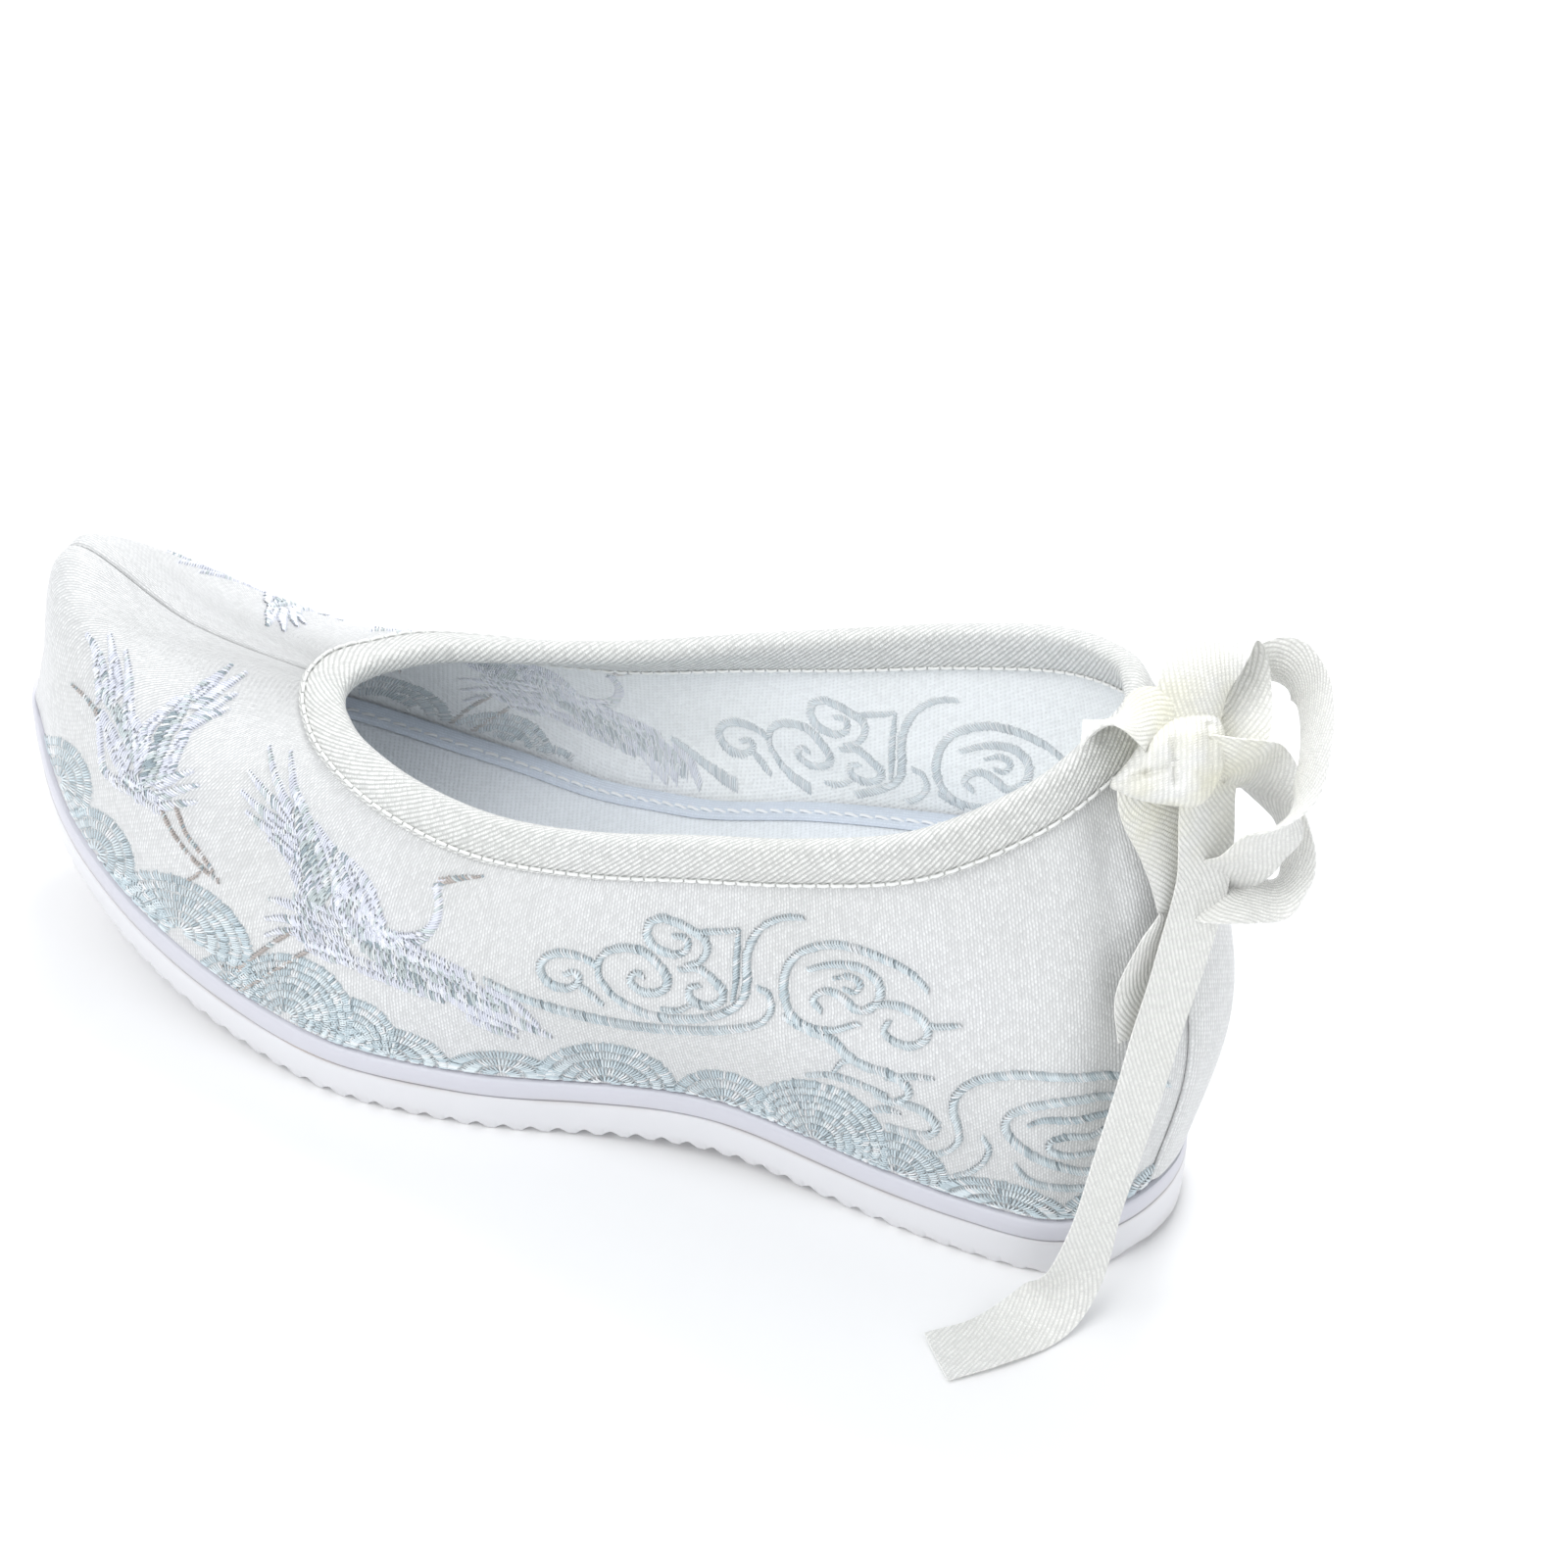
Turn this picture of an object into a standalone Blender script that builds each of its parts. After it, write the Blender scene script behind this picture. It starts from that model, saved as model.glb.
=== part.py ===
"""Embroidered cloth shoe, left foot: ribbed sole, hollow satin upper, wedge insole, bound collar, ribbon bow.

Frame: +X from heel to toe, +Y to the wearer's left, the outer side, +Z up.
The origin is on the floor under the middle.
The tables and sizes are in millimetres, and the meshes in metres.
"""

import math
from collections import namedtuple

import bmesh
import bpy
import numpy as np

MM = 0.001
SHARP_ANGLE = math.radians(35)

# Fineness of the measuring along an outline, a section and the footbed, and the step of a slope
EDGE_SAMPLES = 1200
SECTION_SAMPLES = 60
FOOTBED_SAMPLES = 80
SLOPE_STEP = 0.02

# Fit between pieces
GAP = 0.3

# Outsole
SOLE_THICKNESS = 13.6
TOE_LIFT = 23.0
TOE_LIFT_START = 28.7
TOE_LIFT_RUN = 96.5
TOE_LIFT_POWER = 2.05
TOE_RIM_RISE = 4.5
TOE_RIM_START = 101.0
TOE_RIM_RUN = 22.0
ARCH_LIFT = 3.0
ARCH_BACK = -74.0
ARCH_FRONT = 2.0
HEEL_LIFT = 1.5
HEEL_LIFT_START = -104.0
HEEL_LIFT_RUN = 17.0
RIB_PITCH = 5.0
RIB_LAND = 1.7
RIB_DEPTH = 2.2
HEEL_RIB_DEPTH = 1.2
HEEL_RIB_END = -70.0
HEEL_RIB_FADE = 10.0
SOLE_TIP_FLAT = 0.25
SOLE_LEAST_WIDTH = 0.3

# Side of the sole, from the floor up: how far each level lies inside the edge, and its height
SideLevel = namedtuple("SideLevel", "inset height")
SOLE_SIDE = (
    SideLevel(1.6, 0.0),
    SideLevel(0.4, 3.2),
    SideLevel(0.0, 7.8),
    SideLevel(0.8, 8.3),
    SideLevel(0.2, 8.8),
    SideLevel(0.5, 13.6),
)

# Upper
WALL = 1.8
UPPER_INSET = 1.4
STEPS_PER_SECTION = 3
STEPS_UP = 10

# Sections of the last from the heel's back seam round the side to the toe's centre seam. Each runs from the
# sole's edge up to the collar: sole edge (outer and inner half widths), swell, shoulder, crown and collar.
Section = namedtuple(
    "Section",
    "name sole_x outer inner swell shoulder crown collar",
)
SECTIONS = (
    Section("heel back", -120.7, 0.0, 0.0,
            (-125.7, 0, 48.6), (-123.2, 0, 75.6), (-116.4, 0, 99.4), (-106.3, 0, 119.2)),
    Section("heel quarter", -116.9, 14.3, 13.9,
            (-121.1, 15.6, 47.6), (-118.6, 14.9, 73.6), (-112.4, 12.9, 96.4), (-103.7, 8.2, 117.2)),
    Section("heel round", -106.3, 24.6, 24.0,
            (-107.4, 28.2, 47.6), (-105.8, 27.5, 71.6), (-102, 25.2, 92.4), (-96.3, 20.3, 111.6)),
    Section("heel side", -87.3, 26.9, 26.0,
            (-86.6, 33.1, 46.6), (-85.1, 33.2, 66.6), (-83.2, 32.8, 86.4), (-80.3, 31.2, 103.2)),
    Section("rear waist", -61.3, 26.2, 24.8,
            (-61.3, 33.9, 45.6), (-60.8, 33.7, 62.6), (-60.3, 33.7, 79.4), (-59.8, 33.8, 95)),
    Section("waist", -37.3, 26.7, 25.0,
            (-37.3, 34.5, 43.6), (-37.3, 34.5, 59.6), (-37.8, 33.9, 74.4), (-38.3, 32.8, 87)),
    Section("front waist", -12.3, 31.3, 29.8,
            (-12.3, 36.7, 41.6), (-12.8, 36.9, 54.6), (-14.3, 35.2, 67.4), (-16.3, 31.4, 78.8)),
    Section("rear ball", 10.7, 38.2, 37.4,
            (10.7, 39.7, 34.6), (9.7, 38.5, 47.6), (8.2, 34.7, 60.4), (5.7, 27.8, 71.8)),
    Section("ball", 36.7, 41.8, 41.8,
            (35.7, 41.2, 32.6), (33.7, 38, 47.6), (30.7, 31.2, 60), (25.7, 22.1, 68.6)),
    Section("rear vamp", 62.7, 38.3, 39.4,
            (60.7, 37.2, 36.6), (56.7, 31.6, 51.6), (50.2, 23, 62.8), (40.7, 15.4, 68)),
    Section("vamp", 86.2, 31.6, 32.8,
            (83.2, 30.6, 43.2), (78.4, 24.8, 58), (66.6, 14.8, 64), (48.7, 8.4, 67.4)),
    Section("toe side", 106.5, 21.6, 22.2,
            (105, 20.2, 51.4), (100.4, 15.4, 70.4), (84.4, 8.2, 68.8), (51.7, 3.6, 67)),
    Section("toe quarter", 118.2, 11.4, 11.6,
            (116, 9.6, 54.8), (109, 8.4, 77), (85.4, 4, 69.4), (52.3, 1.7, 66.9)),
    Section("toe seam", 125.7, 0.0, 0.0,
            (119.2, 0, 55.4), (111.8, 0, 80.2), (85.8, 0, 69.6), (52.5, 0, 66.8)),
)
LAST_SECTION = len(SECTIONS) - 1
GUIDES_UP = 4
SIDES = (1, -1)

# Insole: top height along the foot
FootbedRow = namedtuple("FootbedRow", "x top")
FOOTBED = (
    FootbedRow(-125, 63.0),
    FootbedRow(-95, 59.0),
    FootbedRow(-60, 50.0),
    FootbedRow(-32, 42.5),
    FootbedRow(-4, 32.0),
    FootbedRow(18, 25.5),
    FootbedRow(40, 24.5),
    FootbedRow(70, 29.5),
    FootbedRow(125, 46.0),
)
FOOTBED_LEVELS = 3
FOOTBED_END = 0.06
FOOTBED_TAPE_WIDTH = 5.0
FOOTBED_TAPE_THICKNESS = 1.0
FOOTBED_TAPE_END = 12
FOOTBED_CLEAR = 0.5
FOOTBED_TAPE_CLEAR = 0.9

# Collar binding: tape folded over the collar's edge
BINDING_WIDTH = 8.0
BINDING_TAPE = 0.9
BINDING_TOP = 1.1
BINDING_GAP = 0.55
BINDING_ROUND = 0.4

# Back strip: half its width in section steps, from just above the sole to below the binding
STRIP_HALF = 0.62
STRIP_FOOT = 0.06
STRIP_TOP_BELOW_COLLAR = 9.5
STRIP_THICKNESS = 0.9
STRIP_STEPS = 4

# Ribbon
RIBBON_WIDTH = 12.0
RIBBON_THICKNESS = 0.8
RIBBON_POINTS_PER_SPAN = 3

# The bow lies flat against the outer back of the heel: its middle, and its right, up and out directions
BOW_CENTRE = (-118.0, 2.0, 114.1)
BOW_RIGHT = (-0.9, -0.436, 0.0)
BOW_UP = (0.286, -0.591, 0.755)
BOW_OUT = (-0.329, 0.679, 0.656)
KNOT_PLACE = (-4.8, -1.2, 4.9)
KNOT_RADII = (9.0, 7.5, 6.0)
KNOT_AROUND = 14
KNOT_UP = 8

# Each stretch of ribbon: the points of its middle line, and the direction that the tape's width lies along
RibbonRow = namedtuple("RibbonRow", "x y z across")
HEEL_QUARTER = (0.5, 0.86, 0.0)


def in_bow(right, up, out):
    """Direction with these parts along the bow's right, up and out directions."""
    return tuple(r * right + u * up + o * out for r, u, o in zip(BOW_RIGHT, BOW_UP, BOW_OUT))


def bow_row(right, up, out, across):
    """A ribbon's row given by its distances from the middle of the bow."""
    off = in_bow(right, up, out)
    return RibbonRow(*(middle + step for middle, step in zip(BOW_CENTRE, off)), in_bow(*across))


TOP_LOOP_FACE = (0.96, -0.2, -0.15)
TOP_LOOP_CREST = (0.98, -0.08, -0.16)
BACK_LOOP_FACE = (0.4, 0.55, 0.73)
BACK_LOOP_SIDE = (0.36, 0.3, 0.88)
BACK_LOOP_TURN = (0.1, 0.5, 0.85)
BACK_LOOP_END_FACE = (-0.36, 0.42, 0.83)
LOW_LOOP_FACE = (0.45, 0.6, 0.66)
LOW_LOOP_TURN = (0.5, 0.2, 0.85)
LOW_LOOP_SIDE = (0.38, -0.05, 0.92)
LOW_LOOP_FOOT = (0.1, -0.58, 0.81)
TAIL_FACE = (-0.82, -0.37, 0.42)
RIBBON_RUNS = {
    "ribbon_tie": (
        RibbonRow(-101.8, 12.8, 120.4, (0.5, 0.8, -0.3)),
        RibbonRow(-107.6, 9.6, 124.1, (0.6, 0.75, -0.1)),
        RibbonRow(-112.2, 7.6, 123.9, (0.5, 0.85, 0.0)),
    ),
    "ribbon_loop_top": (
        bow_row(-1.4, 6.6, 5.6, TOP_LOOP_FACE),
        bow_row(-0.4, 11.0, 6.2, TOP_LOOP_FACE),
        bow_row(1.2, 14.8, 5.4, TOP_LOOP_CREST),
        bow_row(3.2, 17.3, 3.2, TOP_LOOP_CREST),
        bow_row(5.2, 17.3, 0.6, TOP_LOOP_CREST),
        bow_row(6.8, 15.0, -0.8, TOP_LOOP_CREST),
        bow_row(7.4, 10.8, -0.6, TOP_LOOP_FACE),
        bow_row(7.4, 7.0, 0.6, TOP_LOOP_FACE),
    ),
    "ribbon_loop_back": (
        bow_row(1.6, 1.2, -1.2, BACK_LOOP_FACE),
        bow_row(5.2, 5.2, -6.0, BACK_LOOP_FACE),
        bow_row(9.4, 10.2, -8.4, BACK_LOOP_FACE),
        bow_row(12.2, 13.5, -8.2, BACK_LOOP_FACE),
        bow_row(15.4, 14.8, -6.8, BACK_LOOP_FACE),
        bow_row(18.4, 14.0, -4.8, BACK_LOOP_FACE),
        bow_row(20.4, 11.0, -2.6, BACK_LOOP_SIDE),
        bow_row(20.9, 5.7, 1.0, BACK_LOOP_SIDE),
        bow_row(20.0, -1.0, 3.8, BACK_LOOP_SIDE),
        bow_row(18.2, -7.2, 4.4, BACK_LOOP_SIDE),
        bow_row(15.0, -12.4, 2.6, BACK_LOOP_TURN),
        bow_row(11.4, -16.6, -2.4, BACK_LOOP_END_FACE),
        bow_row(8.8, -19.4, -7.0, BACK_LOOP_END_FACE),
    ),
    "ribbon_loop_low": (
        bow_row(4.9, -1.4, 4.8, LOW_LOOP_FACE),
        bow_row(8.8, -1.7, 2.6, LOW_LOOP_FACE),
        bow_row(11.8, -3.2, -3.4, LOW_LOOP_FACE),
        bow_row(14.6, -6.8, -9.6, LOW_LOOP_TURN),
        bow_row(17.8, -11.6, -11.6, LOW_LOOP_SIDE),
        bow_row(19.2, -17.0, -12.4, LOW_LOOP_SIDE),
        bow_row(18.6, -21.6, -12.6, LOW_LOOP_SIDE),
        bow_row(15.8, -24.6, -12.6, LOW_LOOP_FOOT),
        bow_row(11.0, -25.4, -12.2, LOW_LOOP_FOOT),
        bow_row(7.4, -25.4, -12.2, LOW_LOOP_FOOT),
    ),
    "ribbon_tail_long": (
        RibbonRow(-122.5, 6.0, 106.7, HEEL_QUARTER),
        RibbonRow(-123.6, 8.0, 92.7, HEEL_QUARTER),
        RibbonRow(-123.0, 15.2, 78.0, HEEL_QUARTER),
        RibbonRow(-121.8, 19.8, 67.0, HEEL_QUARTER),
        RibbonRow(-120.7, 23.2, 56.0, HEEL_QUARTER),
        RibbonRow(-118.6, 27.0, 40.4, HEEL_QUARTER),
        RibbonRow(-116.1, 30.0, 24.3, HEEL_QUARTER),
        RibbonRow(-113.4, 32.6, 10.4, (0.75, 0.6, 0.3)),
        RibbonRow(-109.0, 37.0, 3.4, (0.85, -0.1, 0.25)),
        RibbonRow(-102.7, 45.0, 1.2, (0.76, -0.65, 0.0)),
        RibbonRow(-95.6, 52.2, 0.8, (0.76, -0.65, 0.0)),
    ),
    "ribbon_tail_short": (
        bow_row(-6.9, -10.0, 0.3, TAIL_FACE),
        bow_row(-4.2, -14.7, -3.4, TAIL_FACE),
        bow_row(-1.2, -22.3, -8.6, TAIL_FACE),
        bow_row(-0.6, -27.5, -11.3, TAIL_FACE),
        bow_row(-4.4, -33.5, -12.4, TAIL_FACE),
        bow_row(-7.4, -40.5, -14.9, TAIL_FACE),
        bow_row(-6.6, -48.0, -19.2, TAIL_FACE),
    ),
}

Finish = namedtuple("Finish", "colour roughness")
FINISHES = {
    "outsole": Finish((0.74, 0.74, 0.82), 0.35),
    "upper": Finish((0.80, 0.82, 0.81), 0.45),
    "insole": Finish((0.72, 0.74, 0.76), 0.85),
    "insole_binding": Finish((0.68, 0.75, 0.84), 0.7),
    "collar_binding": Finish((0.88, 0.89, 0.86), 0.6),
    "back_strip": Finish((0.78, 0.80, 0.79), 0.5),
    "ribbon": Finish((0.92, 0.92, 0.86), 0.55),
}


def smooth_step(value):
    value = np.clip(value, 0.0, 1.0)
    return value * value * (3.0 - 2.0 * value)


def catmull_rom(rows, at):
    """Smooth curve through rows[1:-1], with `at` counted from 0. The end rows only set the end directions."""
    rows = np.asarray(rows, float)
    at = np.clip(np.asarray(at, float), 0.0, len(rows) - 3.0)
    first = np.minimum(at.astype(int), len(rows) - 4)
    part = (at - first)[..., None]
    before, start, end, after = (rows[first + step] for step in range(4))
    slope_start = 0.5 * (end - before)
    slope_end = 0.5 * (after - start)
    return (
        start
        + slope_start * part
        + (3.0 * (end - start) - 2.0 * slope_start - slope_end) * part**2
        + (2.0 * (start - end) + slope_start + slope_end) * part**3
    )


def mirrored_ends(rows):
    """Rows of (x, y, ...) that start and end on the plane y = 0, with a reflected row added at both ends."""
    rows = np.asarray(rows, float)
    flip = np.ones(rows.shape[1])
    flip[1] = -1.0
    return np.vstack([rows[1] * flip, rows, rows[-2] * flip])


def sole_edge(along, side):
    """Outline of the sole from above, at a place along the sections, as (x, y) with y on the given side."""
    width = [section.outer if side > 0 else section.inner for section in SECTIONS]
    rows = mirrored_ends([(section.sole_x, half) for section, half in zip(SECTIONS, width)])
    return catmull_rom(rows, along) * (1.0, side)


def sole_lift(x):
    """Height of the sole's underside over the floor: toe spring, arch and the turned-up back of the heel."""
    toe = TOE_LIFT * np.clip((x - TOE_LIFT_START) / TOE_LIFT_RUN, 0.0, None) ** TOE_LIFT_POWER
    arch = ARCH_LIFT * np.sin(np.pi * np.clip((x - ARCH_BACK) / (ARCH_FRONT - ARCH_BACK), 0.0, 1.0)) ** 2
    heel = HEEL_LIFT * np.clip((HEEL_LIFT_START - x) / HEEL_LIFT_RUN, 0.0, None) ** 2
    return toe + arch + heel


def sole_height(x):
    """Thickness of the sole at its rim, which rises round the toe."""
    return SOLE_THICKNESS + TOE_RIM_RISE * smooth_step((x - TOE_RIM_START) / TOE_RIM_RUN)


def sole_top(x):
    return sole_lift(x) + sole_height(x)


def feather_line(along, side):
    """Foot of the upper: the sole's edge moved in, on top of the sole."""
    step = SLOPE_STEP
    here = sole_edge(along, side)
    ahead = sole_edge(np.clip(along + step, 0.0, LAST_SECTION), side)
    behind = sole_edge(np.clip(along - step, 0.0, LAST_SECTION), side)
    run = ahead - behind
    run = run / np.linalg.norm(run, axis=-1, keepdims=True)
    at_ends = (along <= 0.0) | (along >= LAST_SECTION)
    run[at_ends, 0] = 0.0
    run[along <= 0.0, 1] = side
    run[along >= LAST_SECTION, 1] = -side
    inward = np.stack([run[..., 1], -run[..., 0]], axis=-1) * side
    foot = here + UPPER_INSET * inward
    return np.column_stack([foot, sole_top(foot[..., 0]) + GAP])


def wall_point(along, up, side):
    """Outer face of the upper. `along` counts sections from the heel, and `up` runs from sole to collar."""
    along, up = np.broadcast_arrays(np.asarray(along, float), np.asarray(up, float))
    shape = along.shape
    along, up = along.ravel(), up.ravel()
    guides = [feather_line(along, side)]
    for name in ("swell", "shoulder", "crown", "collar"):
        rows = mirrored_ends([getattr(section, name) for section in SECTIONS])
        guides.append(catmull_rom(rows, along) * (1.0, side, 1.0))
    guides.insert(0, 2.0 * guides[0] - guides[1])
    guides.append(2.0 * guides[-1] - guides[-2])
    guides = np.stack(guides)
    first = np.minimum(up.astype(int), GUIDES_UP - 1)
    pick = np.arange(len(up))
    near = np.stack([guides[first + step, pick] for step in range(4)])
    part = up - first
    points = np.empty_like(near[0])
    for place in range(len(up)):
        points[place] = catmull_rom(near[:, place], part[place])
    return points.reshape(shape + (3,))


def wall_normal(along, up, side):
    """Outward direction of the upper's face."""
    step = SLOPE_STEP
    along, up = np.broadcast_arrays(np.asarray(along, float), np.asarray(up, float))
    run = wall_point(np.clip(along + step, 0, LAST_SECTION), up, side) - wall_point(
        np.clip(along - step, 0, LAST_SECTION), up, side
    )
    rise = wall_point(along, np.clip(up + step, 0, GUIDES_UP), side) - wall_point(
        along, np.clip(up - step, 0, GUIDES_UP), side
    )
    on_seam = (along <= 0.0) | (along >= LAST_SECTION)
    run[on_seam, 0] = 0.0
    run[on_seam, 2] = 0.0
    rise[on_seam, 1] = 0.0
    normal = np.cross(rise, run) * side
    return normal / np.linalg.norm(normal, axis=-1, keepdims=True)


def off_wall(along, up, side, distance):
    """A point at a distance outside the upper's face, or inside it where negative."""
    return wall_point(along, up, side) + wall_normal(along, up, side) * np.asarray(distance)[..., None]


def below_collar(along, side, distance):
    """The value of `up` at a distance down the wall from the collar's edge."""
    steps = np.linspace(GUIDES_UP, GUIDES_UP / 2, SECTION_SAMPLES)
    found = []
    for place in along:
        line = wall_point(np.full(len(steps), place), steps, side)
        run = np.concatenate([[0.0], np.cumsum(np.linalg.norm(np.diff(line, axis=0), axis=1))])
        found.append(np.interp(distance, run, steps))
    return np.array(found)


def section_steps(first, last):
    """Places along the sections, at the same steps for every piece, so that their facets lie side by side."""
    count = round((last - first) * STEPS_PER_SECTION)
    return np.linspace(first, last, count + 1)


def material(name):
    finish = FINISHES[name]
    made = bpy.data.materials.get(name) or bpy.data.materials.new(name)
    made.use_nodes = True
    shader = made.node_tree.nodes["Principled BSDF"]
    shader.inputs["Base Color"].default_value = (*finish.colour, 1.0)
    shader.inputs["Roughness"].default_value = finish.roughness
    shader.inputs["Metallic"].default_value = 0.0
    return made


def add_object(name, points, faces, finish, collection):
    mesh = bpy.data.meshes.new(name)
    mesh.from_pydata([tuple(point) for point in np.asarray(points) * MM], [], faces)
    shape = bmesh.new()
    shape.from_mesh(mesh)
    bmesh.ops.recalc_face_normals(shape, faces=shape.faces)
    shape.to_mesh(mesh)
    shape.free()
    mesh.shade_smooth()
    mesh.set_sharp_from_angle(angle=SHARP_ANGLE)
    mesh.materials.append(material(finish))
    made = bpy.data.objects.new(name, mesh)
    collection.objects.link(made)
    return made


def loft(rings, closed_along):
    """Points and faces of a solid through rings of equal length, closed on itself or capped at both ends."""
    count, around = len(rings), len(rings[0])
    points = np.concatenate(rings)
    faces = []
    for ring in range(count if closed_along else count - 1):
        here, there = ring * around, (ring + 1) % count * around
        for place in range(around):
            after = (place + 1) % around
            faces.append((here + place, here + after, there + after, there + place))
    if not closed_along:
        faces.append(tuple(range(around)))
        faces.append(tuple(range((count - 1) * around, count * around)))
    return points, faces


def rib_stations():
    """Places along the sole: both edges of each rib's land, and the bottom of the groove after it."""
    back = SECTIONS[0].sole_x + SOLE_TIP_FLAT
    front = SECTIONS[-1].sole_x - SOLE_TIP_FLAT
    places = [(back, 0.0)]
    for rib in range(math.ceil(back / RIB_PITCH), math.floor(front / RIB_PITCH) + 1):
        middle = rib * RIB_PITCH
        for offset, depth in ((-RIB_LAND / 2, 0.0), (RIB_LAND / 2, 0.0), (RIB_PITCH / 2, 1.0)):
            if back < middle + offset < front:
                places.append((middle + offset, depth))
    places.append((front, 0.0))
    return places


def build_outsole(collection):
    fine = np.linspace(0.0, LAST_SECTION, EDGE_SAMPLES)
    edges = {side: sole_edge(fine, side) for side in SIDES}
    rings = []
    for x, groove in rib_stations():
        heel = smooth_step((HEEL_RIB_END - x) / HEEL_RIB_FADE)
        depth = groove * (RIB_DEPTH + (HEEL_RIB_DEPTH - RIB_DEPTH) * heel)
        ring = []
        for side in SIDES:
            half = abs(np.interp(x, edges[side][:, 0], edges[side][:, 1]))
            profile = []
            for level in SOLE_SIDE:
                width = max(half - level.inset, SOLE_LEAST_WIDTH * half)
                height = level.height * sole_height(x) / SOLE_THICKNESS
                profile.append((x, side * width, sole_lift(x) + max(height, depth)))
            ring += profile if side > 0 else profile[::-1]
        rings.append(np.array(ring))
    points, faces = loft(rings, closed_along=False)
    return add_object("outsole", points, faces, "outsole", collection)


def build_upper(collection):
    along = section_steps(0.0, LAST_SECTION)
    up = np.linspace(0.0, GUIDES_UP, STEPS_UP + 1)
    outer = wall_point(along[:, None], up[None, :], 1)
    inner = wall_point(along[:, None], up[None, :], -1)
    outer[[0, -1], :, 1] = 0.0
    columns = np.concatenate([outer, inner[-2:0:-1]])
    count, high = len(columns), len(up)
    faces = []
    for column in range(count):
        here, there = column * high, (column + 1) % count * high
        for step in range(high - 1):
            faces.append((here + step, there + step, there + step + 1, here + step + 1))
    made = add_object("upper", columns.reshape(-1, 3), faces, "upper", collection)
    wall = made.modifiers.new("Wall", "SOLIDIFY")
    wall.thickness = WALL * MM
    wall.offset = -1.0
    wall.use_even_offset = True
    return made


def footbed_top(x):
    return np.interp(x, [row.x for row in FOOTBED], [row.top for row in FOOTBED])


def footbed_level(place, side, inside):
    """The value of `up` where the wall's inner face meets the top of the footbed."""
    steps = np.linspace(0.0, GUIDES_UP / 2, FOOTBED_SAMPLES)
    line = off_wall(np.full(len(steps), place), steps, side, np.full(len(steps), -inside))
    over = line[:, 2] - footbed_top(line[:, 0])
    return float(np.interp(0.0, over, steps))


def footbed_places():
    places = section_steps(0.0, LAST_SECTION)
    places[0] = FOOTBED_END
    places[-1] = LAST_SECTION - FOOTBED_END
    return places


def build_insole(collection):
    inside = WALL + FOOTBED_CLEAR
    rings = []
    for place in footbed_places():
        ring = []
        for side in SIDES:
            top = footbed_level(place, side, inside)
            levels = np.linspace(0.0, top, FOOTBED_LEVELS + 1)
            points = off_wall(np.full(len(levels), place), levels, side, np.full(len(levels), -inside))
            points[0, 2] = sole_top(points[0, 0]) + GAP
            ring += list(points if side > 0 else points[::-1])
        rings.append(np.array(ring))
    points, faces = loft(rings, closed_along=False)
    return add_object("insole", points, faces, "insole", collection)


def build_insole_binding(collection):
    """Tape laid round the edge of the footbed, from the toe side round the heel to the other toe side."""
    inside = WALL + FOOTBED_TAPE_CLEAR
    rings = []
    for side in SIDES:
        places = section_steps(0.0, FOOTBED_TAPE_END)
        for place in places[::-1] if side > 0 else places[1:]:
            edge_up = footbed_level(place, side, inside)
            edge = off_wall(np.array([place]), np.array([edge_up]), side, np.array([-inside]))[0]
            inward = -wall_normal(np.array([place]), np.array([edge_up]), side)[0]
            inward[2] = 0.0
            inward /= np.linalg.norm(inward)
            inner_edge = edge + inward * FOOTBED_TAPE_WIDTH
            low = footbed_top(edge[0]) + GAP
            low_inner = footbed_top(inner_edge[0]) + GAP
            high = FOOTBED_TAPE_THICKNESS
            rings.append(
                np.array(
                    [
                        (edge[0], edge[1], low),
                        (edge[0], edge[1], low + high),
                        (inner_edge[0], inner_edge[1], low_inner + high),
                        (inner_edge[0], inner_edge[1], low_inner),
                    ]
                )
            )
    points, faces = loft(rings, closed_along=False)
    return add_object("insole_binding", points, faces, "insole_binding", collection)


def binding_profile():
    """Folded tape in section: (distance down from the collar's edge, distance off the wall's outer face)."""
    outer_gap, outer = BINDING_GAP, BINDING_GAP + BINDING_TAPE
    inner_gap, inner = -WALL - BINDING_GAP, -WALL - BINDING_GAP - BINDING_TAPE
    return (
        (BINDING_WIDTH, outer_gap),
        (BINDING_WIDTH, outer),
        (BINDING_ROUND, outer),
        (-BINDING_TOP, outer_gap),
        (-BINDING_TOP, inner_gap),
        (BINDING_ROUND, inner),
        (BINDING_WIDTH, inner),
        (BINDING_WIDTH, inner_gap),
        (-BINDING_GAP, inner_gap),
        (-BINDING_GAP, outer_gap),
    )


def build_collar_binding(collection):
    places = section_steps(0.0, LAST_SECTION)
    rings = []
    for side in SIDES:
        walk = places if side > 0 else places[-2:0:-1]
        edge = wall_point(walk, np.full(len(walk), float(GUIDES_UP)), side)
        before = wall_point(walk, np.full(len(walk), GUIDES_UP - SLOPE_STEP), side)
        beyond = (edge - before) / np.linalg.norm(edge - before, axis=1, keepdims=True)
        columns = []
        for down, distance in binding_profile():
            if down > 0:
                up = below_collar(walk, side, down)
                columns.append(off_wall(walk, up, side, np.full(len(walk), distance)))
            else:
                normal = wall_normal(walk, np.full(len(walk), float(GUIDES_UP)), side)
                columns.append(edge - beyond * down + normal * distance)
        rings += list(np.stack(columns, axis=1))
    points, faces = loft(rings, closed_along=True)
    return add_object("collar_binding", points, faces, "collar_binding", collection)


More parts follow.
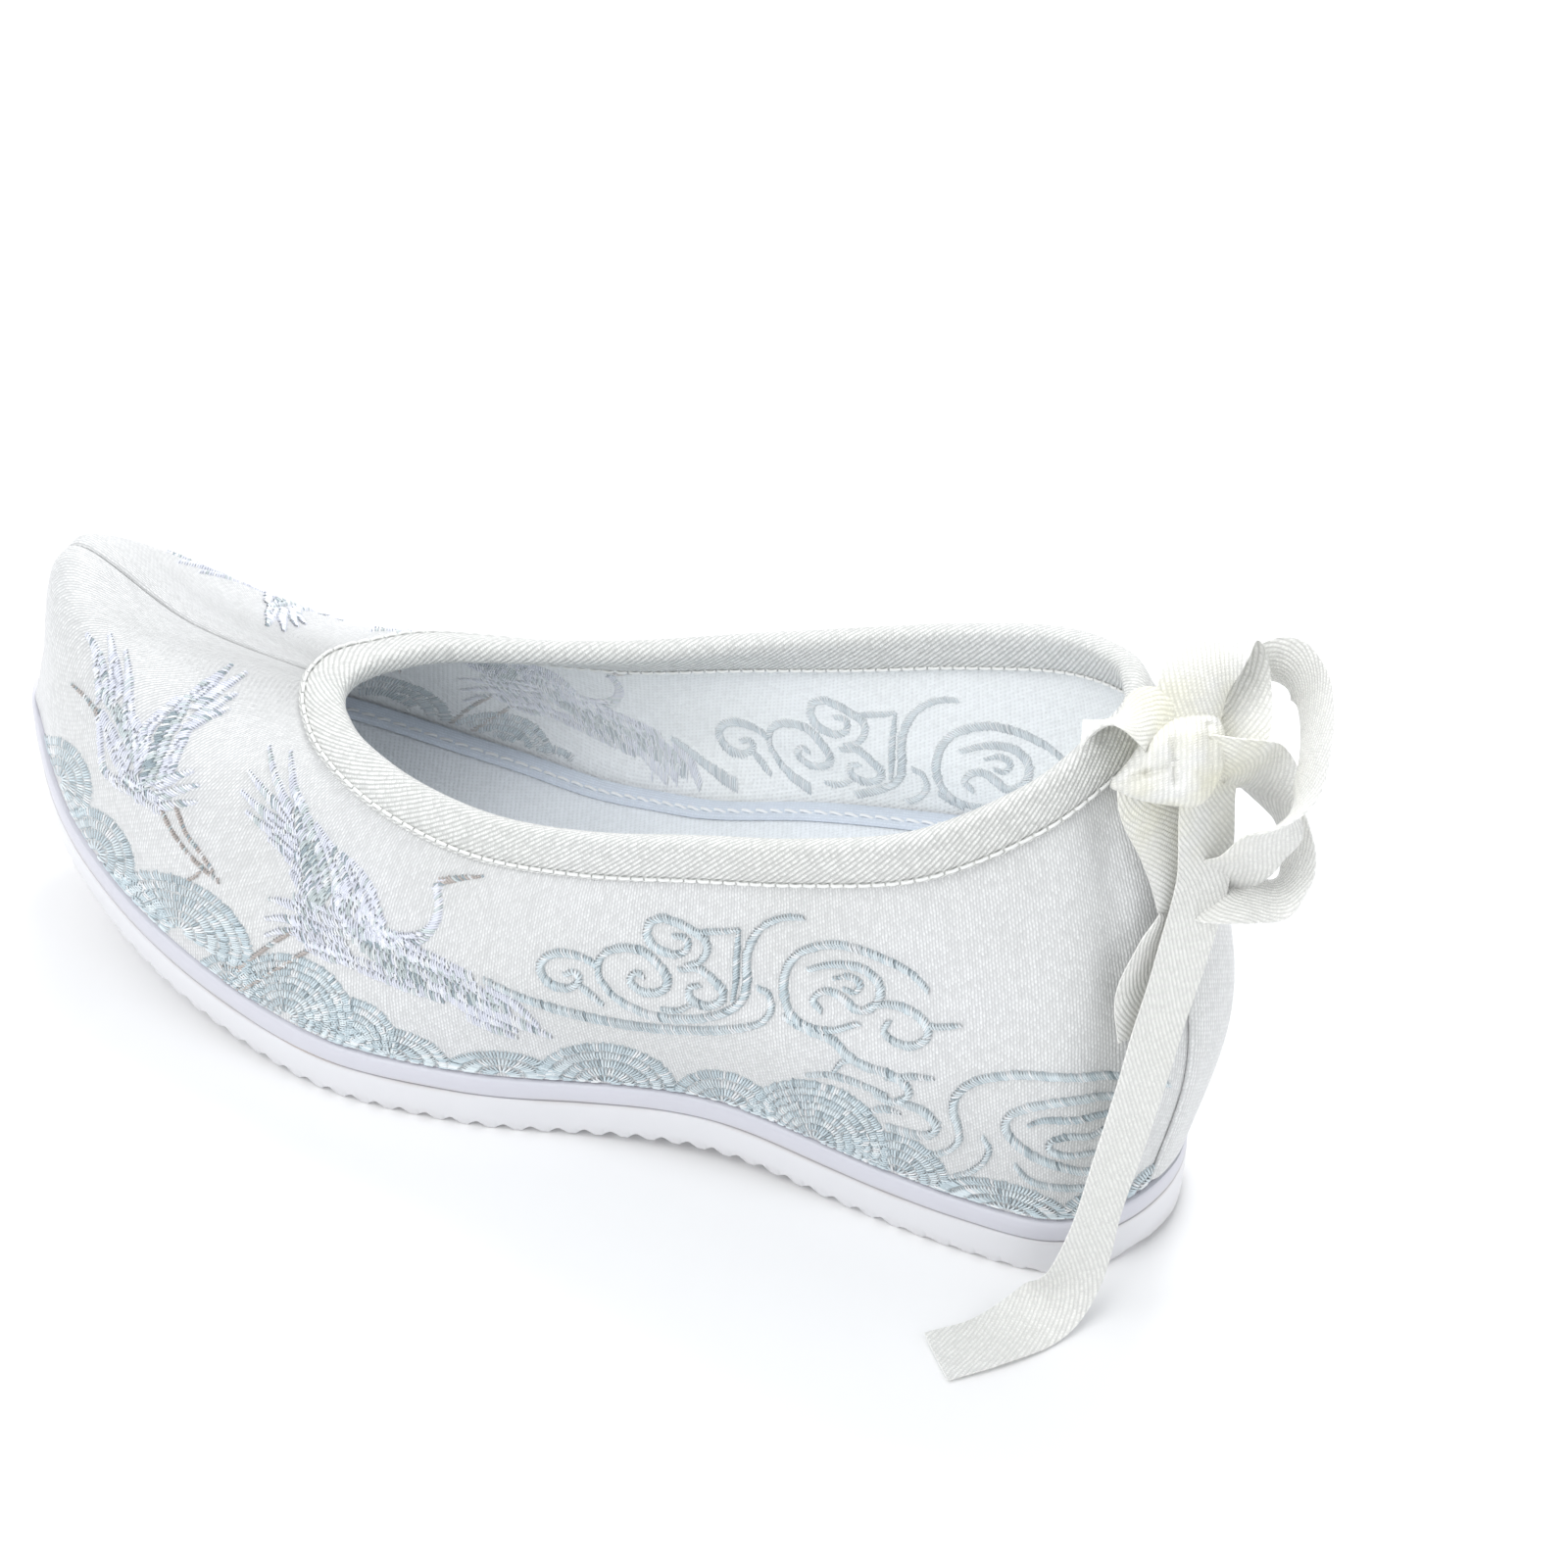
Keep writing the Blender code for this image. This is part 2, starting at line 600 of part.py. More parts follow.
def build_back_strip(collection):
    """Strip over the back seam, lying on the wall's outer face."""
    half = np.linspace(0.0, STRIP_HALF, STRIP_STEPS + 1)
    columns = []
    for side in SIDES[::-1]:
        walk = half[::-1] if side < 0 else half[1:]
        top = below_collar(walk, side, STRIP_TOP_BELOW_COLLAR)
        for place, high in zip(walk, top):
            up = np.linspace(STRIP_FOOT, high, STEPS_UP)
            columns.append(off_wall(np.full(len(up), place), up, side, np.full(len(up), GAP)))
    count, high = len(columns), STEPS_UP
    faces = []
    for column in range(count - 1):
        for step in range(high - 1):
            here, there = column * high + step, (column + 1) * high + step
            faces.append((here, there, there + 1, here + 1))
    made = add_object("back_strip", np.concatenate(columns), faces, "back_strip", collection)
    tape = made.modifiers.new("Tape", "SOLIDIFY")
    tape.thickness = STRIP_THICKNESS * MM
    tape.offset = 1.0
    return made


def build_knot(collection):
    shape = bmesh.new()
    bmesh.ops.create_uvsphere(shape, u_segments=KNOT_AROUND, v_segments=KNOT_UP, radius=MM)
    mesh = bpy.data.meshes.new("ribbon_knot")
    shape.to_mesh(mesh)
    shape.free()
    for vertex in mesh.vertices:
        vertex.co = in_bow(*(value * radius for value, radius in zip(vertex.co, KNOT_RADII)))
    mesh.shade_smooth()
    mesh.materials.append(material("ribbon"))
    made = bpy.data.objects.new("ribbon_knot", mesh)
    off = in_bow(*KNOT_PLACE)
    made.location = [(middle + step) * MM for middle, step in zip(BOW_CENTRE, off)]
    collection.objects.link(made)
    return made


def build_ribbon_run(name, rows, collection):
    """A strip of tape along its middle line, given its thickness by Solidify."""
    line = np.array([(row.x, row.y, row.z) for row in rows])
    across = np.array([row.across for row in rows], float)
    across /= np.linalg.norm(across, axis=1, keepdims=True)
    at = np.linspace(0.0, len(rows) - 1.0, (len(rows) - 1) * RIBBON_POINTS_PER_SPAN + 1)

    def along(values):
        ends = (2.0 * values[0] - values[1], 2.0 * values[-1] - values[-2])
        return catmull_rom(np.vstack([ends[0], values, ends[1]]), at)

    middle, width = along(line), along(across)
    run = np.gradient(middle, axis=0)
    run /= np.linalg.norm(run, axis=1, keepdims=True)
    width -= run * np.sum(width * run, axis=1, keepdims=True)
    width *= RIBBON_WIDTH / 2.0 / np.linalg.norm(width, axis=1, keepdims=True)
    points = np.concatenate([middle - width, middle, middle + width])
    count = len(middle)
    faces = []
    for strip in range(2):
        for step in range(count - 1):
            low, high = strip * count + step, (strip + 1) * count + step
            faces.append((low, low + 1, high + 1, high))
    made = add_object(name, points, faces, "ribbon", collection)
    tape = made.modifiers.new("Tape", "SOLIDIFY")
    tape.thickness = RIBBON_THICKNESS * MM
    tape.offset = 0.0
    return made


def main():
    for existing in list(bpy.data.objects):
        bpy.data.objects.remove(existing, do_unlink=True)
    shoe = bpy.data.collections.new("Embroidered cloth shoe")
    bpy.context.scene.collection.children.link(shoe)
    build_outsole(shoe)
    build_upper(shoe)
    build_insole(shoe)
    build_insole_binding(shoe)
    build_collar_binding(shoe)
    build_back_strip(shoe)
    build_knot(shoe)
    for name, rows in RIBBON_RUNS.items():
        build_ribbon_run(name, rows, shoe)


if __name__ == "__main__":
    main()
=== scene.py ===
"""Looks of an embroidered cloth shoe, left foot, on its solid frame.

Satin, embroidery, tape, rubber and ribbon. Frame: +X from heel to toe, +Y to the wearer's left, the outer
side, +Z up, origin on the floor under the middle.
The tables are in millimetres, and the meshes in metres.
"""

import math
from collections import namedtuple

import bmesh
import bpy
import numpy as np
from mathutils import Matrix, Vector
from mathutils.kdtree import KDTree


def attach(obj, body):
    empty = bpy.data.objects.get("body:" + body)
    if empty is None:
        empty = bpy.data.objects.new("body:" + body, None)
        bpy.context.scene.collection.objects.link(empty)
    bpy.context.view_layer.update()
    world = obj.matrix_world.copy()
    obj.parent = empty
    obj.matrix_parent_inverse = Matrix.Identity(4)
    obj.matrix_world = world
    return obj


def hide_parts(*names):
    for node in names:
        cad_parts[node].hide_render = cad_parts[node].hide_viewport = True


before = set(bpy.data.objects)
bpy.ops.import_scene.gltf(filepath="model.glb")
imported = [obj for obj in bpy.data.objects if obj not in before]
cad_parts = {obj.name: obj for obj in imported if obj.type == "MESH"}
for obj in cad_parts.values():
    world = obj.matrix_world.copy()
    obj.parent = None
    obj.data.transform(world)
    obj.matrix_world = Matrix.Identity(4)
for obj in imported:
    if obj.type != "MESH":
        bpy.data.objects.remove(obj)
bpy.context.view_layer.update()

bl_info = {
    "name": "Embroidered cloth shoe",
    "version": (1, 0, 0),
    "blender": (4, 5, 0),
    "location": "3D View > Sidebar > Cloth shoe",
    "description": "Makes the sewn, embroidered and moulded pieces of a cloth shoe over its solid frame",
    "category": "Add Mesh",
}

MM = 0.001
BODY = "root"
SHARP_ANGLE = math.radians(40)
SEED = 7

# Shape of the last: sections from the heel's back seam round the side to the toe's centre seam
Section = namedtuple("Section", "name sole_x outer inner swell shoulder crown collar")
SECTIONS = (
    Section("heel back", -120.7, 0.0, 0.0,
            (-125.7, 0, 48.6), (-123.2, 0, 75.6), (-116.4, 0, 99.4), (-106.3, 0, 119.2)),
    Section("heel quarter", -116.9, 14.3, 13.9,
            (-121.1, 15.6, 47.6), (-118.6, 14.9, 73.6), (-112.4, 12.9, 96.4), (-103.7, 8.2, 117.2)),
    Section("heel round", -106.3, 24.6, 24.0,
            (-107.4, 28.2, 47.6), (-105.8, 27.5, 71.6), (-102, 25.2, 92.4), (-96.3, 20.3, 111.6)),
    Section("heel side", -87.3, 26.9, 26.0,
            (-86.6, 33.1, 46.6), (-85.1, 33.2, 66.6), (-83.2, 32.8, 86.4), (-80.3, 31.2, 103.2)),
    Section("rear waist", -61.3, 26.2, 24.8,
            (-61.3, 33.9, 45.6), (-60.8, 33.7, 62.6), (-60.3, 33.7, 79.4), (-59.8, 33.8, 95)),
    Section("waist", -37.3, 26.7, 25.0,
            (-37.3, 34.5, 43.6), (-37.3, 34.5, 59.6), (-37.8, 33.9, 74.4), (-38.3, 32.8, 87)),
    Section("front waist", -12.3, 31.3, 29.8,
            (-12.3, 36.7, 41.6), (-12.8, 36.9, 54.6), (-14.3, 35.2, 67.4), (-16.3, 31.4, 78.8)),
    Section("rear ball", 10.7, 38.2, 37.4,
            (10.7, 39.7, 34.6), (9.7, 38.5, 47.6), (8.2, 34.7, 60.4), (5.7, 27.8, 71.8)),
    Section("ball", 36.7, 41.8, 41.8,
            (35.7, 41.2, 32.6), (33.7, 38, 47.6), (30.7, 31.2, 60), (25.7, 22.1, 68.6)),
    Section("rear vamp", 62.7, 38.3, 39.4,
            (60.7, 37.2, 36.6), (56.7, 31.6, 51.6), (50.2, 23, 62.8), (40.7, 15.4, 68)),
    Section("vamp", 86.2, 31.6, 32.8,
            (83.2, 30.6, 43.2), (78.4, 24.8, 58), (66.6, 14.8, 64), (48.7, 8.4, 67.4)),
    Section("toe side", 106.5, 21.6, 22.2,
            (105, 20.2, 51.4), (100.4, 15.4, 70.4), (84.4, 8.2, 68.8), (51.7, 3.6, 67)),
    Section("toe quarter", 118.2, 11.4, 11.6,
            (116, 9.6, 54.8), (109, 8.4, 77), (85.4, 4, 69.4), (52.3, 1.7, 66.9)),
    Section("toe seam", 125.7, 0.0, 0.0,
            (119.2, 0, 55.4), (111.8, 0, 80.2), (85.8, 0, 69.6), (52.5, 0, 66.8)),
)
LAST_SECTION = len(SECTIONS) - 1
GUIDES_UP = 4
SIDES = (1, -1)
SLOPE_STEP = 0.02
WALL = 1.8
UPPER_INSET = 1.4
GAP = 0.3

# Outsole
SOLE_THICKNESS = 13.6
TOE_LIFT = 23.0
TOE_LIFT_START = 28.7
TOE_LIFT_RUN = 96.5
TOE_LIFT_POWER = 2.05
TOE_RIM_RISE = 4.5
TOE_RIM_START = 101.0
TOE_RIM_RUN = 22.0
ARCH_LIFT = 3.0
ARCH_BACK = -74.0
ARCH_FRONT = 2.0
HEEL_LIFT = 1.5
HEEL_LIFT_START = -104.0
HEEL_LIFT_RUN = 17.0
RIB_PITCH = 5.0
RIB_ROUND = 0.7
RIB_LAND = 0.9
RIB_DEPTH = 1.7
HEEL_RIB_DEPTH = 1.2
HEEL_RIB_END = -70.0
HEEL_RIB_FADE = 10.0
SOLE_STEP = 0.5
SOLE_END_STEPS = (0.05, 0.12, 0.22, 0.36)
SOLE_LEAST_WIDTH = 0.3
SOLE_LEVEL_SHARE = 0.02
SOLE_EDGE_SAMPLES = 2400
SOLE_GROOVE_HEIGHT = 9.4

# Side of the sole, from the floor up: how far each level lies inside the edge, and its height
SideLevel = namedtuple("SideLevel", "inset height")
SOLE_SIDE = (
    SideLevel(1.7, 0.0),
    SideLevel(1.05, 0.25),
    SideLevel(0.72, 1.1),
    SideLevel(0.4, 3.2),
    SideLevel(0.12, 5.8),
    SideLevel(0.0, 8.4),
    SideLevel(0.06, 9.1),
    SideLevel(0.4, 9.28),
    SideLevel(0.7, 9.4),
    SideLevel(0.4, 9.52),
    SideLevel(0.1, 9.7),
    SideLevel(0.06, 10.4),
    SideLevel(0.1, 11.8),
    SideLevel(0.24, 12.8),
    SideLevel(0.6, 13.4),
    SideLevel(1.1, 13.6),
)

# Insole: top height along the foot
FootbedRow = namedtuple("FootbedRow", "x top")
FOOTBED = (
    FootbedRow(-125, 63.0),
    FootbedRow(-95, 59.0),
    FootbedRow(-60, 50.0),
    FootbedRow(-32, 42.5),
    FootbedRow(-4, 32.0),
    FootbedRow(18, 25.5),
    FootbedRow(40, 24.5),
    FootbedRow(70, 29.5),
    FootbedRow(125, 46.0),
)
FOOTBED_END = 0.06
FOOTBED_CLEAR = 0.5
FOOTBED_DISH = 0.9
FOOTBED_ACROSS = 15
FOOTBED_TAPE_THICKNESS = 1.0
FOOTBED_TAPE_END = 12
FOOTBED_TAPE_CLEAR = 0.9
FOOTBED_SAMPLES = 90
FOOTBED_STITCH_IN = 3.7
FOOTBED_STITCH_CLEAR = 0.06
FOOTBED_STITCH_LENGTH = 1.2
FOOTBED_THREAD = (246, 248, 250)
FOOTBED_STEPS = 8
FOOTBED_WALL_ROWS = 6

# Collar binding: tape folded over the collar's edge, as (distance down from the edge, distance off the wall)
BINDING_STITCH_IN = 7.1
BINDING_STITCH_OUT = 1.3
BINDING_STITCH_BACK = -3.15
BINDING_STEPS = 12
BINDING_TOE_STEPS = 4
BINDING_THREAD_TONE = 0.96
COLLAR_SAMPLES = 80
BINDING_FOLD = (
    (8.0, 0.2),
    (7.95, 0.95),
    (7.6, 1.3),
    (6.9, 0.95),
    (6.2, 1.42),
    (4.0, 1.5),
    (1.6, 1.5),
    (0.4, 1.36),
    (-0.5, 0.9),
    (-1.0, 0.1),
    (-1.15, -0.9),
    (-1.0, -1.9),
    (-0.5, -2.7),
    (0.4, -3.16),
    (1.6, -3.28),
    (4.0, -3.28),
    (6.2, -3.2),
    (6.9, -2.92),
    (7.6, -3.0),
    (7.95, -2.75),
    (8.0, -2.0),
    (5.0, -2.0),
    (-0.3, -2.0),
    (-0.3, 0.2),
    (5.0, 0.2),
)
# Row of the fold in the middle of the outer face
BINDING_FACE = 6

# Back strip over the heel's seam: half its width, counted along and in mm, and its edges
STRIP_HALF = 0.62
STRIP_HALF_MM = 9.0
STRIP_EDGE_SHARE = 0.25
STRIP_EDGE_POWER = 10
STRIP_FOOT = 0.06
STRIP_TOP_BELOW_COLLAR = 9.5
STRIP_THICKNESS = 0.9
STRIP_ACROSS = 25
STRIP_UP = 48

# Ribbon bow: the middle line of each stretch of tape, and the direction that the tape's width lies along.
# Loops and knot are in the bow's own axes, (right, up, out) from its centre. The other rows are in the shoe's
# frame.
RIBBON_THICKNESS = 0.7
RIBBON_ACROSS = 13
RIBBON_STEP = 0.7
RIBBON_SAMPLES = 40
RIBBON_LEAST_STEPS = 8
SELVEDGE_THINNING = 0.55
SELVEDGE_POWER = 6
FLOOR_CLEAR = 0.02
RIBBON_CAMBER = 0.35
TOP_LOOP_CAMBER = -1.7
BOW_CENTRE = (-118.0, 2.0, 114.1)
BOW_RIGHT = (-0.9, -0.436, 0.0)
BOW_UP = (0.286, -0.591, 0.755)
BOW_OUT = (-0.329, 0.679, 0.656)
BOW_AXES = np.array([BOW_RIGHT, BOW_UP, BOW_OUT])
RibbonRow = namedtuple("RibbonRow", "x y z across")


def in_bow(places):
    """Directions in the shoe's frame of directions in the bow's axes."""
    return np.asarray(places, float) @ BOW_AXES


def bow_row(right, up, out, across):
    return RibbonRow(*(in_bow((right, up, out)) + BOW_CENTRE), tuple(in_bow(across)))


HEEL_QUARTER = (0.5, 0.86, 0.0)
TOP_LOOP_FACE = (0.96, -0.2, -0.15)
TOP_LOOP_CREST = (0.98, -0.08, -0.16)
BACK_LOOP_FACE = (0.4, 0.55, 0.73)
BACK_LOOP_SIDE = (0.36, 0.3, 0.88)
BACK_LOOP_TURN = (0.1, 0.5, 0.85)
BACK_LOOP_END_FACE = (-0.36, 0.42, 0.83)
LOW_LOOP_FACE = (0.45, 0.6, 0.66)
LOW_LOOP_TURN = (0.5, 0.2, 0.85)
LOW_LOOP_SIDE = (0.38, -0.05, 0.92)
LOW_LOOP_FOOT = (0.1, -0.58, 0.81)
TAIL_FACE = (-0.82, -0.37, 0.42)
TIE_RUN = (
    RibbonRow(-101.8, 12.8, 120.4, (0.5, 0.8, -0.3)),
    RibbonRow(-107.6, 9.6, 124.1, (0.6, 0.75, -0.1)),
    RibbonRow(-112.2, 7.6, 123.9, (0.5, 0.85, 0.0)),
    RibbonRow(-115.4, 6.4, 121.0, (0.5, 0.85, 0.0)),
)
TOP_LOOP_RUN = (
    bow_row(-2.2, 3.0, 5.0, TOP_LOOP_FACE),
    bow_row(-1.4, 6.6, 5.6, TOP_LOOP_FACE),
    bow_row(-0.4, 11.0, 6.2, TOP_LOOP_FACE),
    bow_row(1.2, 14.8, 5.4, TOP_LOOP_CREST),
    bow_row(3.2, 17.3, 3.2, TOP_LOOP_CREST),
    bow_row(5.2, 17.3, 0.6, TOP_LOOP_CREST),
    bow_row(6.8, 15.0, -0.8, TOP_LOOP_CREST),
    bow_row(7.4, 10.8, -0.6, TOP_LOOP_FACE),
    bow_row(7.4, 7.0, 0.6, TOP_LOOP_FACE),
    bow_row(6.6, 3.0, 1.8, TOP_LOOP_FACE),
)
BACK_LOOP_RUN = (
    bow_row(-1.2, -1.6, 2.0, BACK_LOOP_FACE),
    bow_row(1.6, 1.2, -1.2, BACK_LOOP_FACE),
    bow_row(5.2, 5.2, -6.0, BACK_LOOP_FACE),
    bow_row(9.4, 10.2, -8.4, BACK_LOOP_FACE),
    bow_row(12.2, 13.5, -8.2, BACK_LOOP_FACE),
    bow_row(15.4, 14.8, -6.8, BACK_LOOP_FACE),
    bow_row(18.4, 14.0, -4.8, BACK_LOOP_FACE),
    bow_row(20.4, 11.0, -2.6, BACK_LOOP_SIDE),
    bow_row(20.9, 5.7, 1.0, BACK_LOOP_SIDE),
    bow_row(20.0, -1.0, 3.8, BACK_LOOP_SIDE),
    bow_row(18.2, -7.2, 4.4, BACK_LOOP_SIDE),
    bow_row(15.0, -12.4, 2.6, BACK_LOOP_TURN),
    bow_row(11.4, -16.6, -2.4, BACK_LOOP_END_FACE),
    bow_row(8.8, -19.4, -7.0, BACK_LOOP_END_FACE),
    bow_row(4.6, -21.4, -13.0, BACK_LOOP_END_FACE),
)
LOW_LOOP_RUN = (
    bow_row(1.6, -1.2, 5.0, LOW_LOOP_FACE),
    bow_row(4.9, -1.4, 4.8, LOW_LOOP_FACE),
    bow_row(8.8, -1.7, 2.6, LOW_LOOP_FACE),
    bow_row(11.8, -3.2, -3.4, LOW_LOOP_FACE),
    bow_row(14.6, -6.8, -9.6, LOW_LOOP_TURN),
    bow_row(17.8, -11.6, -11.6, LOW_LOOP_SIDE),
    bow_row(19.2, -17.0, -12.4, LOW_LOOP_SIDE),
    bow_row(18.6, -21.6, -12.6, LOW_LOOP_SIDE),
    bow_row(15.8, -24.6, -12.6, LOW_LOOP_FOOT),
    bow_row(11.0, -25.4, -12.2, LOW_LOOP_FOOT),
    bow_row(7.4, -25.4, -12.2, LOW_LOOP_FOOT),
    bow_row(2.8, -24.4, -15.4, LOW_LOOP_FOOT),
)
LONG_TAIL_RUN = (
    RibbonRow(-122.0, 2.6, 115.6, HEEL_QUARTER),
    RibbonRow(-122.4, 5.8, 108.3, HEEL_QUARTER),
    RibbonRow(-123.6, 8.0, 92.7, HEEL_QUARTER),
    RibbonRow(-123.0, 15.2, 78.0, HEEL_QUARTER),
    RibbonRow(-121.8, 19.8, 67.0, HEEL_QUARTER),
    RibbonRow(-120.7, 23.2, 56.0, HEEL_QUARTER),
    RibbonRow(-118.6, 27.0, 40.4, HEEL_QUARTER),
    RibbonRow(-116.1, 30.0, 24.3, HEEL_QUARTER),
    RibbonRow(-113.4, 32.6, 10.4, (0.75, 0.6, 0.3)),
    RibbonRow(-109.0, 37.0, 3.4, (0.85, -0.1, 0.25)),
    RibbonRow(-102.7, 45.0, 1.2, (0.76, -0.65, 0.0)),
    RibbonRow(-95.6, 52.2, 0.8, (0.76, -0.65, 0.0)),
)
SHORT_TAIL_RUN = (
    RibbonRow(-112.6, 9.6, 114.2, HEEL_QUARTER),
    RibbonRow(-113.8, 11.4, 109.3, HEEL_QUARTER),
    bow_row(-4.2, -14.7, -3.4, TAIL_FACE),
    bow_row(-1.2, -22.3, -8.6, TAIL_FACE),
    bow_row(-0.6, -27.5, -11.3, TAIL_FACE),
    bow_row(-4.4, -33.5, -12.4, TAIL_FACE),
    bow_row(-7.4, -40.5, -14.9, TAIL_FACE),
    bow_row(-6.6, -48.0, -19.2, TAIL_FACE),
)

# Knot: its outline as (right, up) in the bow's axes, and its folds as both ends, half width and height
KNOT_MIDDLE = (-4.2, -1.6)
KNOT_OUT = 4.9
KNOT_FRONT = 6.0
KNOT_BACK = 5.0
KNOT_OUTLINE = (
    (-14.4, -5.2),
    (-11.4, -1.2),
    (-8.7, 2.4),
    (-4.5, 5.7),
    (-0.3, 6.6),
    (3.4, 6.2),
    (4.8, 3.6),
    (5.0, -0.4),
    (3.6, -5.2),
    (0.6, -8.8),
    (-4.6, -8.8),
    (-9.6, -7.9),
    (-12.9, -6.6),
)
KnotFold = namedtuple("KnotFold", "right up right_end up_end width height")
KNOT_FOLDS = (
    KnotFold(-14.6, -5.2, -8.8, -3.4, 0.7, -1.3),
    KnotFold(-8.4, -3.3, -5.4, -2.6, 0.7, -1.0),
    KnotFold(-13.0, -6.4, -3.0, -6.8, 1.5, 1.2),
    KnotFold(-11.0, -0.6, -4.8, 3.6, 2.0, 1.1),
    KnotFold(-4.4, 4.6, -3.9, -5.2, 0.6, -1.0),
    KnotFold(-0.8, 5.4, -0.6, -5.8, 1.9, 1.4),
    KnotFold(1.9, 4.8, 2.3, -4.4, 0.6, -0.9),
    KnotFold(-3.2, 4.8, 3.6, 4.6, 0.6, -0.5),
    KnotFold(3.4, -3.4, 1.6, -8.6, 0.8, -1.2),
)

# View: the camera's distance from its target, its direction, and its lens on a 36 mm sensor
VIEW_TARGET = (-39.83, 0.0, 76.08)
VIEW_DISTANCE = 801.2
VIEW_TURN = 0.4505
VIEW_RISE = 0.7155
VIEW_LENS = 101.25
VIEW_SENSOR = 36.0
VIEW_NEAR = 10.0

# Embroidery chart: drawn as the outer side is seen in the view, in chart points from the top left of a square
CHART_SIDE = 1600.0
CHART_FOCAL = CHART_SIDE * VIEW_LENS / VIEW_SENSOR
CHART_POINTS_PER_MM = 5.6


def srgb(red, green, blue):
    """Linear colour of a screen colour given in 0 to 255."""
    return tuple(
        value / 12.92 if value <= 0.04045 else ((value + 0.055) / 1.055) ** 2.4
        for value in (red / 255, green / 255, blue / 255)
    )


# Shape of the last

def smooth_step(value):
    value = np.clip(value, 0.0, 1.0)
    return value * value * (3.0 - 2.0 * value)


def between(before, start, end, after, part):
    """Catmull-Rom step from start to end."""
    slope_start = 0.5 * (end - before)
    slope_end = 0.5 * (after - start)
    return (
        start
        + slope_start * part
        + (3.0 * (end - start) - 2.0 * slope_start - slope_end) * part**2
        + (2.0 * (start - end) + slope_start + slope_end) * part**3
    )


def catmull_rom(rows, at):
    """Smooth curve through rows[1:-1], with `at` counted from 0. The end rows only set the end directions."""
    rows = np.asarray(rows, float)
    at = np.clip(np.asarray(at, float), 0.0, len(rows) - 3.0)
    first = np.minimum(at.astype(int), len(rows) - 4)
    return between(*(rows[first + step] for step in range(4)), (at - first)[..., None])


def through(rows, at):
    """Smooth curve through all rows, straight beyond both ends."""
    rows = np.asarray(rows, float)
    return catmull_rom(np.vstack([2.0 * rows[0] - rows[1], rows, 2.0 * rows[-1] - rows[-2]]), at)


def mirrored_ends(rows):
    """Rows of (x, y, ...) that start and end on the plane y = 0, with a reflected row added at both ends."""
    rows = np.asarray(rows, float)
    flip = np.ones(rows.shape[1])
    flip[1] = -1.0
    return np.vstack([rows[1] * flip, rows, rows[-2] * flip])


SOLE_ROWS = {
    1: mirrored_ends([(section.sole_x, section.outer) for section in SECTIONS]),
    -1: mirrored_ends([(section.sole_x, section.inner) for section in SECTIONS]),
}
GUIDE_ROWS = [
    mirrored_ends([getattr(section, name) for section in SECTIONS])
    for name in ("swell", "shoulder", "crown", "collar")
]


def unit(vectors):
    return vectors / np.linalg.norm(vectors, axis=-1, keepdims=True)


def sole_edge(along, side):
    return catmull_rom(SOLE_ROWS[side], along) * (1.0, side)


def sole_lift(x):
    """Height of the sole's underside over the floor: toe spring, arch and the turned-up back of the heel."""
    toe = TOE_LIFT * np.clip((x - TOE_LIFT_START) / TOE_LIFT_RUN, 0.0, None) ** TOE_LIFT_POWER
    arch = ARCH_LIFT * np.sin(np.pi * np.clip((x - ARCH_BACK) / (ARCH_FRONT - ARCH_BACK), 0.0, 1.0)) ** 2
    heel = HEEL_LIFT * np.clip((HEEL_LIFT_START - x) / HEEL_LIFT_RUN, 0.0, None) ** 2
    return toe + arch + heel


def sole_height(x):
    return SOLE_THICKNESS + TOE_RIM_RISE * smooth_step((x - TOE_RIM_START) / TOE_RIM_RUN)


def sole_top(x):
    return sole_lift(x) + sole_height(x)


def feather_line(along, side):
    """Foot of the upper: the sole's edge moved in, on top of the sole."""
    here = sole_edge(along, side)
    ahead = sole_edge(np.clip(along + SLOPE_STEP, 0.0, LAST_SECTION), side)
    behind = sole_edge(np.clip(along - SLOPE_STEP, 0.0, LAST_SECTION), side)
    run = unit(ahead - behind)
    run[(along <= 0.0) | (along >= LAST_SECTION), 0] = 0.0
    run[along <= 0.0, 1] = side
    run[along >= LAST_SECTION, 1] = -side
    foot = here + UPPER_INSET * side * np.stack([run[..., 1], -run[..., 0]], axis=-1)
    return np.column_stack([foot, sole_top(foot[..., 0]) + GAP])


def wall_point(along, up, side):
    """Outer face of the upper. `along` counts sections from the heel, and `up` runs from sole to collar."""
    along, up = np.broadcast_arrays(np.asarray(along, float), np.asarray(up, float))
    shape = along.shape
    along, up = along.ravel(), up.ravel()
    guides = [feather_line(along, side)]
    guides += [catmull_rom(rows, along) * (1.0, side, 1.0) for rows in GUIDE_ROWS]
    guides.insert(0, 2.0 * guides[0] - guides[1])
    guides.append(2.0 * guides[-1] - guides[-2])
    guides = np.stack(guides)
    first = np.clip(up.astype(int), 0, GUIDES_UP - 1)
    pick = np.arange(len(up))
    near = (guides[first + step, pick] for step in range(4))
    return between(*near, (up - first)[:, None]).reshape(shape + (3,))


